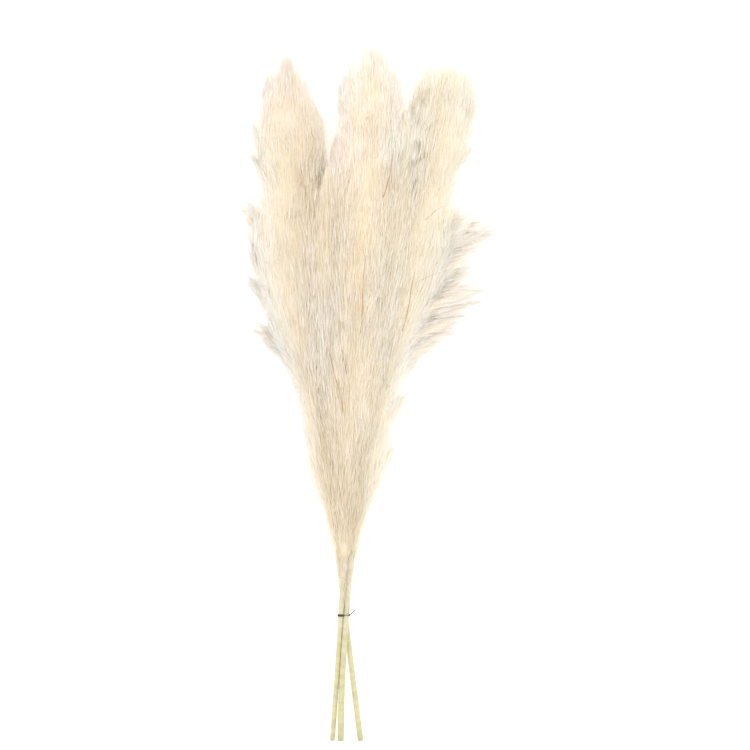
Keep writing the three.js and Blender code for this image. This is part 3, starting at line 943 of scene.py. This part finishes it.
# Packed down under the hair of the lobes, and under the hair that bridges a valley.
def addPads(side, bm, lobeLines):
    look = padLook
    rod = rodMesh("lobe_pad", look["around"], look["rings"])
    shape = coordinates(rod)
    t = look["from"] + (look["to"] - look["from"]) * shape[:, 2]
    radius = look["share"] * sprayLook["lobeWidth"] * np.interp(t, *zip(*sprayLook["lobeProfile"]))
    radius = radius * rounded(shape[:, 2], look["closed"])
    for path in lobeLines:
        layAlong(rod, shape, path, t, radius, radius)
        bm.from_mesh(rod)
    if side == "middle":
        return
    valley = valleyLook[side]
    rod = rodMesh("valley_pad", look["valleyAround"], look["valleyRings"])
    shape = coordinates(rod)
    after, before = look["inValley"]
    y = np.linspace(valley["from"] + after, valley["to"] - before, look["valleyRings"])
    full = (fullness(side, y) + fullness("middle", y)) / 2
    path = (onStem(side, shareAt(side, y))[0] + onStem("middle", shareAt("middle", y))[0]) / 2
    path[:, 2] += full * (valleyLook["skin"] - look["valleyThick"])
    path[:, 2] -= valley["depth"] + look["valleySunk"]
    t = shape[:, 2]
    size = np.interp(t, np.linspace(0, 1, len(full)), full) * rounded(t, look["valleyClosed"])
    layAlong(rod, shape, path, t, size * look["valleyWide"], size * look["valleyThick"])
    bm.from_mesh(rod)


# The branchlets, the packed middle that they grow from, and the pads.
def makeStalks(side, line):
    look = stalkLook
    bm = bmesh.new()
    rod = rodMesh("stalk", 3, 6)
    shape = coordinates(rod)
    thick, thin = look["radius"]
    t = shape[:, 2] * look["to"]
    radius = thick + (thin - thick) * t
    for path in line:
        layAlong(rod, shape, path, t, radius, radius)
        bm.from_mesh(rod)
    stalkFaces = len(bm.faces)
    first = sprayLook[side]["count"]
    addPads(side, bm, line[first:first + len(lobes[side])])
    core = rodMesh("packed", look["coreAround"], look["coreRings"])
    shape = coordinates(core)
    along = shape[:, 2]
    start = shareAt(side, neckY)
    centre, _, across, up = onStem(side, start + (look["coreTo"] - start) * along)
    least, lost = look["coreLeast"]
    atNeck, atTip = look["coreEnds"]
    radius = np.maximum(fullness(side, centre[:, 1]) * look["core"], least * (1 - along * lost))
    radius = radius * np.sqrt(np.clip((1 - along) / look["coreDome"], 0, 1))
    radius = np.where(along > 0.999, atTip, np.where(along < 0.001, atNeck, radius))
    setPoints(core, beside(centre, across, up, shape[:, 0] * radius, shape[:, 1] * radius))
    bm.from_mesh(core)
    bm.faces.ensure_lookup_table()
    for face in bm.faces[stalkFaces:]:
        face.material_index = 1
    bmesh.ops.recalc_face_normals(bm, faces=bm.faces)
    mesh = bpy.data.meshes.new("plume_" + side + "_stalks")
    bm.to_mesh(mesh)
    bm.free()
    asPiece(mesh.name, mesh, ["plume_" + side], [branchletMaterial, downMaterial])


# Each of the next functions places locks: the tips, the ways they point, their sizes, and their tones
# before the plume's shading, which is painted into the tones as light and shade, is added.
onSprays = {
    "locks": {"left": 3400, "middle": 3200, "right": 4450},
    "lobeShare": 2.4,  # how much more hair a lobe has than a spray inside the outline
    "beyond": 45,  # mm past the outline at which a lobe counts as long
    "topShare": (0.8, 970, 1010),  # more hair on sprays that end at the top, from and to in mm
    "along": (0.12, 0.75),  # where on the run the hair starts, and under 1 for more near the tip
    "lean": 0.18,  # how far hair at the side of a spray leans outwards
    "ownLean": 0.08,
    "sprayLean": 0.12,  # radians
    "lobeLean": 0.3,  # share of that for a lobe
    "outwards": 0.1,
    "droop": 0.9,  # how far the ends of the longest lobes turn outwards
    "size": (0.8, 1.15),
    "lobePoint": (0.6, 0.4),  # where the tight locks start, and over how much of the run they take over
    "sprayPoint": (0.85, 0.5),
    "toneVaries": 0.07,
    "dark": (0.12, 0.2),  # share of the sprays that are darker, and by how much
}


# Along the sprays and lobes. It also tells which locks are tight.
def spraysHair(side, rows, lines, rng):
    look = onSprays
    line, outward, tangent = lines
    count, points = line.shape[:2]
    stretch = np.linalg.norm(np.diff(line, axis=1), axis=2).sum(1)
    endY = onStem(side, rows[:, 1])[0][:, 1]
    beyond = np.clip((rows[:, 2] - fullness(side, endY)) / look["beyond"], 0, 1) * rows[:, 6]
    weight = stretch * rows[:, 4] * np.where(rows[:, 6] > 0, look["lobeShare"], 1)
    more, low, high = look["topShare"]
    weight *= 1 + beyond + more * ramp(endY, low, high)
    spray = np.sort(rng.choice(count, look["locks"][side], p=weight / weight.sum()))
    isLobe = rows[spray, 6] > 0
    total = len(spray)
    first, crowded = look["along"]
    t = first + (1 - first) * rng.uniform(0, 1, total) ** crowded
    spot = t * (points - 1)
    step = np.minimum(spot.astype(int), points - 2)
    between = (spot - step)[:, None]
    tip = line[spray, step] * (1 - between) + line[spray, step + 1] * between
    ahead = unit(line[spray, step + 1] - line[spray, step])
    out, aside = outward[spray, step], tangent[spray, step]
    turn = rng.uniform(0, math.tau, total)
    off = np.sqrt(rng.uniform(0, 1, total))
    lobeWide = np.interp(t, *zip(*sprayLook["lobeProfile"]))
    wide = np.where(isLobe, lobeWide, np.interp(t, *zip(*sprayLook["sprayProfile"])))
    tip = beside(
        tip, aside, out,
        np.cos(turn) * off * rows[spray, 4] * wide, np.sin(turn) * off * rows[spray, 5] * wide,
    )
    # Each spray leans its own way as a whole, and each of its locks a little more.
    splay = rng.normal(0, look["sprayLean"], (count, 2))[spray]
    splay = splay * np.where(isLobe, look["lobeLean"], 1)[:, None]
    splay = splay + rng.normal(0, look["ownLean"], (total, 2))
    outwards = look["outwards"] + look["droop"] * beyond[spray] * t**2
    direction = beside(
        ahead, aside, out,
        look["lean"] * np.cos(turn) * off + splay[:, 0],
        outwards + look["lean"] * np.sin(turn) * off + splay[:, 1],
    )
    size = rng.uniform(*look["size"], total)
    (lobeFrom, lobeOver), (sprayFrom, sprayOver) = look["lobePoint"], look["sprayPoint"]
    tightShare = np.where(isLobe, (t - lobeFrom) / lobeOver, (t - sprayFrom) / sprayOver)
    tight = rng.uniform(0, 1, total) < tightShare
    sprayTone = rng.uniform(-look["toneVaries"], look["toneVaries"], count)[spray]
    share, darker = look["dark"]
    dark = (rng.uniform(0, 1, count) < share)[spray]
    return (tip, direction, size, sprayTone - darker * dark), tight


onBody = {
    "locks": {"left": 2550, "middle": 2700, "right": 2450},
    "belowNeck": 8,  # mm
    "beyondStem": {"left": 16, "middle": 13, "right": 14},  # mm, how far the tips go past the stem's end
    "evenly": 6,  # mm added to the fullness, so that the thin stretches get locks too
    "evenSteps": (0.7548776662, 0.5698402910),  # along and round, two steps that never line up
    "turnVaries": 0.05,
    "underside": (-0.4, 0.5),  # below this height, this share goes to the upper side
    "from": 0.74,  # the locks end between these shares of the outline
    "to": 0.97,
    "topWider": {"left": 0.1, "middle": 0.06, "right": 0.0},  # because the hair thins out there
    "topFrom": (940, 1000),  # mm
    "slopeOver": 12,  # mm to each side, over which the outline's slope is taken
    "slope": (-0.25, 0.4),
    "outwards": 0.1,
    "leanVaries": 0.07,
    "sideVaries": 0.08,
    "size": (0.75, 1.1),
    "smallAtNeck": ([270, 420], [0.6, 1]),  # mm and size
    "tone": -0.04,
}


# All over the inside of the outline, in even steps in two directions, so that no patch is bare.
def bodyHair(side, rng):
    look = onBody
    count = look["locks"][side]
    stemEnd = stemPoints[side][-1][1]
    ys = np.linspace(neckY - look["belowNeck"], stemEnd + look["beyondStem"][side], 400)
    weight = fullness(side, ys) + look["evenly"]
    step = np.arange(count)
    stepAlong, stepRound = look["evenSteps"]
    y = np.interp((0.5 + step * stepAlong) % 1, np.cumsum(weight) / weight.sum(), ys)
    centre, ahead, across, up = onStem(side, shareAt(side, y))
    centre = centre + ahead * np.maximum(y - stemEnd, 0)[:, None]
    turn = (0.5 + step * stepRound) % 1 * math.tau + rng.normal(0, look["turnVaries"], count)
    height, share = look["underside"]
    under = (np.sin(turn) < height) & (rng.uniform(0, 1, count) < share)
    out = wayOut(across, up, np.where(under, -turn, turn))
    share = look["from"] + (look["to"] - look["from"]) * np.sqrt(rng.uniform(0, 1, count))
    over = look["slopeOver"]
    slope = (fullness(side, y + over) - fullness(side, y - over)) / (2 * over)
    share = share * (1 + look["topWider"][side] * ramp(y, *look["topFrom"]))
    tip = centre + out * (share * fullness(side, y))[:, None]
    lean = look["outwards"] + share * np.clip(slope, *look["slope"])
    lean = lean + rng.normal(0, look["leanVaries"], count)
    aside = rng.normal(0, look["sideVaries"], count)
    direction = beside(ahead, out, np.cross(ahead, out), lean, aside)
    size = rng.uniform(*look["size"], count) * np.interp(y, *look["smallAtNeck"])
    return tip, direction, size, np.full(count, look["tone"])


onTop = {
    "locks": {"left": 200, "middle": 230, "right": 250},
    "depth": 85,  # mm, how far down from the top they go
    "crowded": 1.3,  # over 1 puts more of them high up
    "to": 0.9,  # share of the outline
    "lean": 0.3,
    "size": (0.8, 1.1),
}


# Hair that closes over the end of the stem.
def topHair(side, rng):
    look = onTop
    count = look["locks"][side]
    stemEnd = stemPoints[side][-1][1]
    down = look["depth"] * rng.uniform(0, 1, count) ** look["crowded"]
    y = stemEnd + onBody["beyondStem"][side] - down
    centre, ahead, across, up = onStem(side, np.minimum(shareAt(side, y), 1))
    centre = centre + ahead * np.maximum(y - stemEnd, 0)[:, None]
    out = wayOut(across, up, rng.uniform(0, math.tau, count))
    share = rng.uniform(0, look["to"], count)
    tip = centre + out * (share * fullness(side, y))[:, None]
    direction = ahead + out * (share * look["lean"])[:, None]
    return tip, direction, rng.uniform(*look["size"], count), np.zeros(count)


onNeck = {
    "locks": 80,
    "from": 204,  # mm, from near the tie into the plume
    "to": 292,
    "crowded": 1.5,  # over 1 puts more of them near the plume
    "turnVaries": 1.0,  # radians from the top of the cane
    "lifted": (0.4, 1.5),  # mm off the cane at the two ends
    "liftVaries": (0.5, 1.2),
    "lean": (0.0, 0.06),
    "size": (0.35, 0.75),
}


# Short hair along the top of the cane under the plume, sparser towards the tie.
def neckHair(side, rng):
    look = onNeck
    count, low, high = look["locks"], look["from"], look["to"]
    y = high - (high - low) * rng.uniform(0, 1, count) ** look["crowded"]
    centre, ahead, across, up = onStem(side, shareAt(side, y))
    out = wayOut(across, up, rng.normal(math.pi / 2, look["turnVaries"], count))
    lifted = np.interp(y, [low, high], look["lifted"]) * rng.uniform(*look["liftVaries"], count)
    lifted = caneLook["neckRadius"] + lifted
    direction = ahead + out * rng.uniform(*look["lean"], count)[:, None]
    tip = centre + out * lifted[:, None]
    return tip, direction, np.interp(tip[:, 1], (low, high), look["size"]), np.zeros(count)


# The tips and ways of locks that bridge the valley between an outer plume and the middle one.
def valleyHair(side, rng):
    look, valley = valleyLook, valleyLook[side]
    count, low, high = valley["locks"], valley["from"], valley["to"]
    y = rng.uniform(low, high, count)
    part = rng.uniform(*look["part"], count)
    outer, outerAhead, _, _ = onStem(side, shareAt(side, y))
    inner, innerAhead, _, _ = onStem("middle", shareAt("middle", y))
    upwards = np.array([0, 0, 1])
    outerTop = outer + upwards * (fullness(side, y) * look["outerSkin"])[:, None]
    innerTop = inner + upwards * (fullness("middle", y) * look["innerSkin"])[:, None]
    skin = outerTop + (innerTop - outerTop) * part[:, None]
    mouth, deeper = look["mouth"]
    sunk = valley["depth"] * rng.uniform(0, 1, count) ** look["sunken"]
    sunk = sunk + deeper * ramp(y, high - mouth, high)
    tip = skin - upwards * sunk[:, None]
    direction = outerAhead + (innerAhead - outerAhead) * part[:, None]
    direction = direction + rng.normal(0, look["lean"], (count, 3)) + upwards * look["rise"]
    return tip, direction


webLook = {
    "left": {"lobes": (0, 8), "locks": 350},  # the first lobe and the one after the last
    "right": {"lobes": (0, 17), "locks": 900},
    "from": 3,  # steps along the lobe's line
    "to": 0.85,  # share of the line
    "lifted": (-5, 3),  # mm
    "bulge": 12,  # mm, where the web leaves the body
    "lean": 0.07,
}


# The tips and ways of locks between neighbouring lobes, which make one fan of them.
def webHair(side, line, rng):
    look, count = webLook, webLook[side]["locks"]
    first, last = (sprayLook[side]["count"] + n for n in look[side]["lobes"])
    own = line[first:last]
    back, points = look["from"], line.shape[1]
    lobe = rng.integers(0, len(own) - 1, count)
    step = rng.integers(back, int(points * look["to"]), count)
    part = rng.uniform(0, 1, count)[:, None]
    tip = own[lobe, step] * (1 - part) + own[lobe + 1, step] * part
    root = own[lobe, step - back] * (1 - part) + own[lobe + 1, step - back] * part
    tip[:, 2] += rng.uniform(*look["lifted"], count) + look["bulge"] * np.sin(step / points * math.pi)
    return tip, unit(tip - root) + rng.normal(0, look["lean"], (count, 3))


toneLook = {
    "base": 0.2,
    # The next two are painted light: the hair is paler out towards the outside and the flanks, where it
    # is thin or turns away from the light, and so warmer and darker deeper in.
    "outside": (0.12, 1.2),  # paler outwards, up to this share of the fullness
    "flank": (0.45, 1.4, 1.3),  # paler towards the flank: amount, up to this share, and power
    "varies": 0.05,
    "upwards": (650, 400, 0.05),  # paler above the first, by the last over the second (mm)
    "top": (900, 1030),  # mm, from where to where the plume's own top tone comes in
    "topTone": {"left": -0.02, "middle": 0.16, "right": 0.06},
    "foot": (520, 320, 0.28),  # mm, warmer from the first down to the second
    "low": (820, 670),  # mm, down from here the sides are greyer
    # Painted light and shade on the low flanks, and on the fans that lie in the body's shade.
    "paintedFlankLight": {"left": 0.28, "middle": 0.0, "right": 0.35},
    "flankFrom": 0.3,  # on both sides of this share of the fullness
    "inner": (480, 600),  # mm, where the inner sides start to be greyer too
    "lobeTone": {"left": 0.12, "middle": 0.1, "right": 0.0},  # creamier again on the long lobes
    "lobeFrom": (1, 1.3),  # shares of the fullness
    "split": 880,  # mm: above it the tops stand apart, so both their sides are flanks
    "innerFlank": 0.8,
    "least": 6,  # mm of fullness
    # A golden streak in each plume: x, y, half width, half length (mm) and strength.
    "golden": {
        "left": (-54, 868, 10, 65, 0.08),
        "middle": (26, 690, 12, 90, 0.2),
        "right": (80, 830, 12, 80, 0.15),
    },
    "streaks": 0.1,  # how much darker the long warm streaks are
    "streakDrift": 260,  # mm over which they wander
    "streakFrom": (0.3, 1.8),  # of the waves' height, which is up to 2
}


# Long thin streaks that run the way the plume grows, between 0 and 1 for each point: 7 and 13
# waves round the plume, which wander as they go up.
def streaks(side, points, stem):
    around = np.arctan2(points[:, 2] - stem[:, 2], points[:, 0] - stem[:, 0])
    drift = points[:, 1] / toneLook["streakDrift"] + len(side)
    wave = np.sin(7 * around + 2.1 * np.sin(drift)) + np.sin(13 * around - 1.7 * drift + 1)
    return ramp(wave, *toneLook["streakFrom"])


# The plume's shading at each tip, painted into the locks' tones as light and shade, with streaks and
# spots of its own colour, and how far out to its flank the tip is.
def toneAt(side, tip, rng):
    look = toneLook
    y = tip[:, 1]
    found, apart = nearest(side, tip)
    stem = stems[side]["samples"][found]
    full = np.maximum(fullness(side, stem[:, 1]), look["least"])
    flank = (tip[:, 0] - stem[:, 0]) / full
    split = y > look["split"]
    flank = {"left": -flank, "middle": np.abs(flank) * split, "right": flank}[side]
    flank = np.where(split, np.maximum(flank, look["innerFlank"] * np.abs(flank)), flank)
    # Painted light and shade: paler towards the outside, warmer and darker deeper in.
    amount, most = look["outside"]
    tone = look["base"] + amount * np.clip(apart / full, 0, most)
    tone -= look["streaks"] * streaks(side, tip, stem)
    # Painted light: paler towards the flank, which turns away from the light.
    amount, most, power = look["flank"]
    tone += amount * np.clip(flank, 0, most) ** power
    middle, over, amount = look["upwards"]
    tone += amount * np.clip((y - middle) / over, -1, 1)
    tone += rng.uniform(-look["varies"], look["varies"], len(tip))
    tone += look["topTone"][side] * ramp(y, *look["top"])
    start, end, amount = look["foot"]
    tone -= amount * ramp(y, start, end)
    # Greyer low on the outer flank, and on the inner one from a little further up: painted light and
    # shade, for the light through the thin rims and for the low fans that lie in the body's shade.
    start = look["flankFrom"]
    sides = ramp(flank, -start, 1 - start) + ramp(flank, start, start - 1) * ramp(y, *look["inner"])
    tone += look["paintedFlankLight"][side] * ramp(y, *look["low"]) * sides
    tone -= look["lobeTone"][side] * ramp(flank, *look["lobeFrom"])
    spotX, spotY, across, along, amount = look["golden"][side]
    tone -= amount * np.exp(-(((tip[:, 0] - spotX) / across) ** 2 + ((y - spotY) / along) ** 2))
    return tone, flank


tableLook = {  # mm
    "tips": (1.5, 2.5),  # the least height of a tip, and how much a draw adds
    "flat": (2, 22),  # how much a lock may point up: its tip's height less the first, over the second
    "down": (10, -0.1),  # a tip below the first points down by no more than the second
    "hairs": 2,  # hairs below this are pressed
    "least": 0.3,  # the lowest that a pressed hair lies
    "soft": 3,  # a hair that would dip by this much is pressed two thirds of the way down
    "crowding": ([700, 860], [-7, 0.5]),  # along the bundle, and how far the next plume is kept clear
}


# Makes the stalks of a plume and places all its locks: where they end, the ways they point, their
# sizes and tones, which of them are tight, and how far out to the flank they are.
def lockPlaces(side, rng):
    rows = np.vstack([spraysOf(side), finerLobes(side, rng)])
    lines = sprayLines(side, rows)
    makeStalks(side, lines[0])
    onSpray, tightOnSpray = spraysHair(side, rows, lines, rng)
    groups = [onSpray, bodyHair(side, rng), topHair(side, rng)]
    free = sum(len(group[0]) for group in groups)
    groups.append(neckHair(side, rng))
    bridged = free + onNeck["locks"]
    if side != "middle":
        for tip, direction in (valleyHair(side, rng), webHair(side, lines[0], rng)):
            size = rng.uniform(*onSprays["size"], len(tip))
            groups.append((tip, direction, size, np.zeros(len(tip))))
    tip, direction, size, tone = (np.concatenate([group[i] for group in groups]) for i in range(4))
    tip[:free] = clearOfOthers(side, tip[:free], np.interp(tip[:free, 1], *tableLook["crowding"]))
    shading, flank = toneAt(side, tip, rng)
    # Near the table the locks turn up enough to lie on it.
    least, more = tableLook["tips"]
    start, over = tableLook["flat"]
    height, down = tableLook["down"]
    tip[:, 2] = np.maximum(tip[:, 2], least + rng.uniform(0, more, len(tip)))
    direction = unit(direction)
    direction[:, 2] = np.minimum(direction[:, 2], (tip[:, 2] - start) / over)
    direction[:, 2] = np.where(tip[:, 2] < height, np.maximum(direction[:, 2], down), direction[:, 2])
    tight = np.zeros(len(tip), bool)
    tight[:len(tightOnSpray)] = tightOnSpray
    tight[free:bridged] = True
    return tip, unit(direction), size, tone + shading, tight, flank


# Rosy locks: most at one spot of each plume, and at the ends of the long lobes.
rosyLook = {
    "share": {"left": 0.06, "middle": 0.22, "right": 0.08},
    "spot": {"left": (-90, 1000), "middle": (-15, 910), "right": (190, 650)},  # mm
    "spotRadius": 60,
    "atSpot": 0.5,
    "atLobes": 0.3,
    "lobesFrom": (1.25, 1.55),  # shares of the fullness
    "pale": 0.6,  # above this tone a rosy lock takes the paler of the two rosy tones
}


def rosyShare(side, tip, flank):
    look = rosyLook
    x, y = look["spot"][side]
    near = np.exp(-(((tip[:, 0] - x) ** 2 + (tip[:, 1] - y) ** 2) / look["spotRadius"] ** 2))
    onLobes = ramp(flank, *look["lobesFrom"])
    return look["share"][side] + look["atSpot"] * near + look["atLobes"] * onLobes


def makeFluff(name, side, places, material, rng):
    tip, direction, size, tone, tight, flank = places
    first = unit(np.cross(direction, [0.3, 0.2, 0.93]))  # a way that no lock points along
    second = np.cross(direction, first)
    across = wayOut(first, second, rng.uniform(0, math.tau, len(tip)))
    frames = np.zeros((len(tip), 4, 4))
    frames[:, :3, 0] = across * size[:, None]
    frames[:, :3, 1] = np.cross(direction, across) * size[:, None]
    frames[:, :3, 2] = direction * size[:, None]
    frames[:, :3, 3] = toMetres(tip)
    frames[:, 3, 3] = 1
    steps = lockLook["tones"] - lockLook["rosyTones"]
    chosen = np.clip((tone * steps).astype(int), 0, steps - 1)
    rosy = rng.uniform(0, 1, len(tip)) < rosyShare(side, tip, flank)
    chosen = np.where(rosy, steps + (tone > rosyLook["pale"]), chosen)
    tightShapes = lockLook["tight"]
    shapes = np.where(
        tight, rng.integers(0, tightShapes, len(tip)),
        rng.integers(tightShapes, lockLook["shapes"], len(tip)),
    )
    bm = bmesh.new()
    for i in range(len(tip)):
        lock = locks[chosen[i]][shapes[i]]
        matrix = Matrix(frames[i].tolist())
        lock.transform(matrix)
        bm.from_mesh(lock)
        lock.transform(matrix.inverted())
    # Hairs that would dip into the table are pressed flat on it.
    near, least, soft = (tableLook[key] / 1000 for key in ("hairs", "least", "soft"))
    for v in bm.verts:
        if v.co.z < near:
            v.co.z = least + (near - least) * math.exp((v.co.z - near) / soft)
    mesh = bpy.data.meshes.new(name)
    bm.to_mesh(mesh)
    bm.free()
    asPiece(name, mesh, ["plume_" + side], [material])


plumeSeeds = {"left": 211, "middle": 229, "right": 253}


def makePlume(side):
    rng = np.random.default_rng(plumeSeeds[side])
    places = lockPlaces(side, rng)
    material = seedHair(side)
    low = places[0][:, 1] < np.median(places[0][:, 1])
    for part, chosen in (("low", low), ("high", ~low)):
        makeFluff("plume_" + side + "_" + part, side, [p[chosen] for p in places], material, rng)
    print("plume made:", side)


for side in sides:
    makePlume(side)


# Bare brown branchlets that lie on top of the hair, each from its root to its tip in x and y. Their brown
# is partly painted shade: dark lines where the hair has thin shaded gaps.
bareLook = {
    "radius": (0.75, 0.3),  # mm
    "sway": 1.6,  # mm
    "swayTurns": 5,  # radians of sway from end to end
    "lift": 4.0,  # mm above the outline
    "bow": 5,
    "skin": 0.95,  # share of the fullness where the hair's skin is
    "lines": {
        "left": [((-15.2, 736), (-35.4, 833)), ((-3, 504), (-30.3, 636)), ((-66.8, 840), (-61, 876))],
        "middle": [((57.7, 822), (78.4, 909)), ((22.8, 621), (32.9, 736)), ((2, 560), (-8, 640))],
        "right": [((86, 625), (106, 712)), ((118, 790), (148, 812)), ((112, 700), (152, 716))],
    },
}


# The height of the top of the hair at each point.
def topOfHair(x, y):
    heights = []
    for side in sides:
        centre = onStem(side, shareAt(side, y))[0]
        rise = np.sqrt(np.maximum(fullness(side, y) ** 2 - (x - centre[:, 0]) ** 2, 0))
        heights.append(centre[:, 2] + rise * bareLook["skin"])
    return np.max(heights, axis=0)


def makeBare(side):
    look = bareLook
    rod = rodMesh("bare", 5, 12)
    shape = coordinates(rod)
    bm = bmesh.new()
    thick, thin = look["radius"]
    t = shape[:, 2]
    radius = thick + (thin - thick) * t
    for i, (root, tip) in enumerate(look["lines"][side]):
        x = root[0] + (tip[0] - root[0]) * t + look["sway"] * np.sin(t * look["swayTurns"] + i)
        y = root[1] + (tip[1] - root[1]) * t
        z = topOfHair(x, y) + look["lift"] - look["bow"] * (t - 0.5) ** 4
        setPoints(rod, np.stack([x + shape[:, 0] * radius, y, z + shape[:, 1] * radius], axis=1))
        bm.from_mesh(rod)
    bmesh.ops.recalc_face_normals(bm, faces=bm.faces)
    mesh = bpy.data.meshes.new("plume_" + side + "_bare")
    bm.to_mesh(mesh)
    bm.free()
    asPiece(mesh.name, mesh, [], [shadeLineBranchletMaterial])


for side in sides:
    makeBare(side)
print("bare branchlets made")


# A light table and a soft light: the bundle on white, with hardly a shadow.
stageLook = {
    "floorSize": 14.0,
    "floorColour": "#fafafa",
    "floorGlow": 0.3,  # a light table: opal acrylic lit from below
    "sky": 1.1,
    "bounces": 10,  # light goes from hair to hair many times in a pale plume
    "softbox": {"place": (-0.5, 1.0, 2.7), "size": 2.4, "power": 26},
}


def makeFloor():
    bm = bmesh.new()
    bmesh.ops.create_grid(bm, x_segments=1, y_segments=1, size=stageLook["floorSize"] / 2)
    mesh = bpy.data.meshes.new("table")
    bm.to_mesh(mesh)
    bm.free()
    floor = bpy.data.objects.new("table", mesh)
    scene.collection.objects.link(floor)
    material, tree = newMaterial("opalAcrylicTable")
    shader = addNode(
        tree, "ShaderNodeBsdfPrincipled",
        {
            "Base Color": linear(stageLook["floorColour"]), "Roughness": 0.9, "Specular IOR Level": 0.2,
            "Emission Color": (1, 1, 1, 1), "Emission Strength": stageLook["floorGlow"],
        },
    )
    addNode(tree, "ShaderNodeOutputMaterial", links={"Surface": shader.outputs[0]})
    mesh.materials.append(material)


makeFloor()
world = bpy.data.worlds.new("studio")
world.use_nodes = True
world.node_tree.nodes["Background"].inputs["Color"].default_value = (1, 1, 1, 1)
world.node_tree.nodes["Background"].inputs["Strength"].default_value = stageLook["sky"]
scene.world = world
softbox = bpy.data.lights.new("softbox", "AREA")
softbox.shape = "SQUARE"
softbox.size = stageLook["softbox"]["size"]
softbox.energy = stageLook["softbox"]["power"]
lamp = bpy.data.objects.new("softbox", softbox)
scene.collection.objects.link(lamp)
lamp.location = stageLook["softbox"]["place"]
lamp.rotation_euler = (-lamp.location).to_track_quat("-Z", "Y").to_euler()
scene.view_settings.view_transform = "Standard"
scene.cycles.diffuse_bounces = stageLook["bounces"]
print("table and light made")

for shapes in locks:
    for lock in shapes:
        bpy.data.meshes.remove(lock)
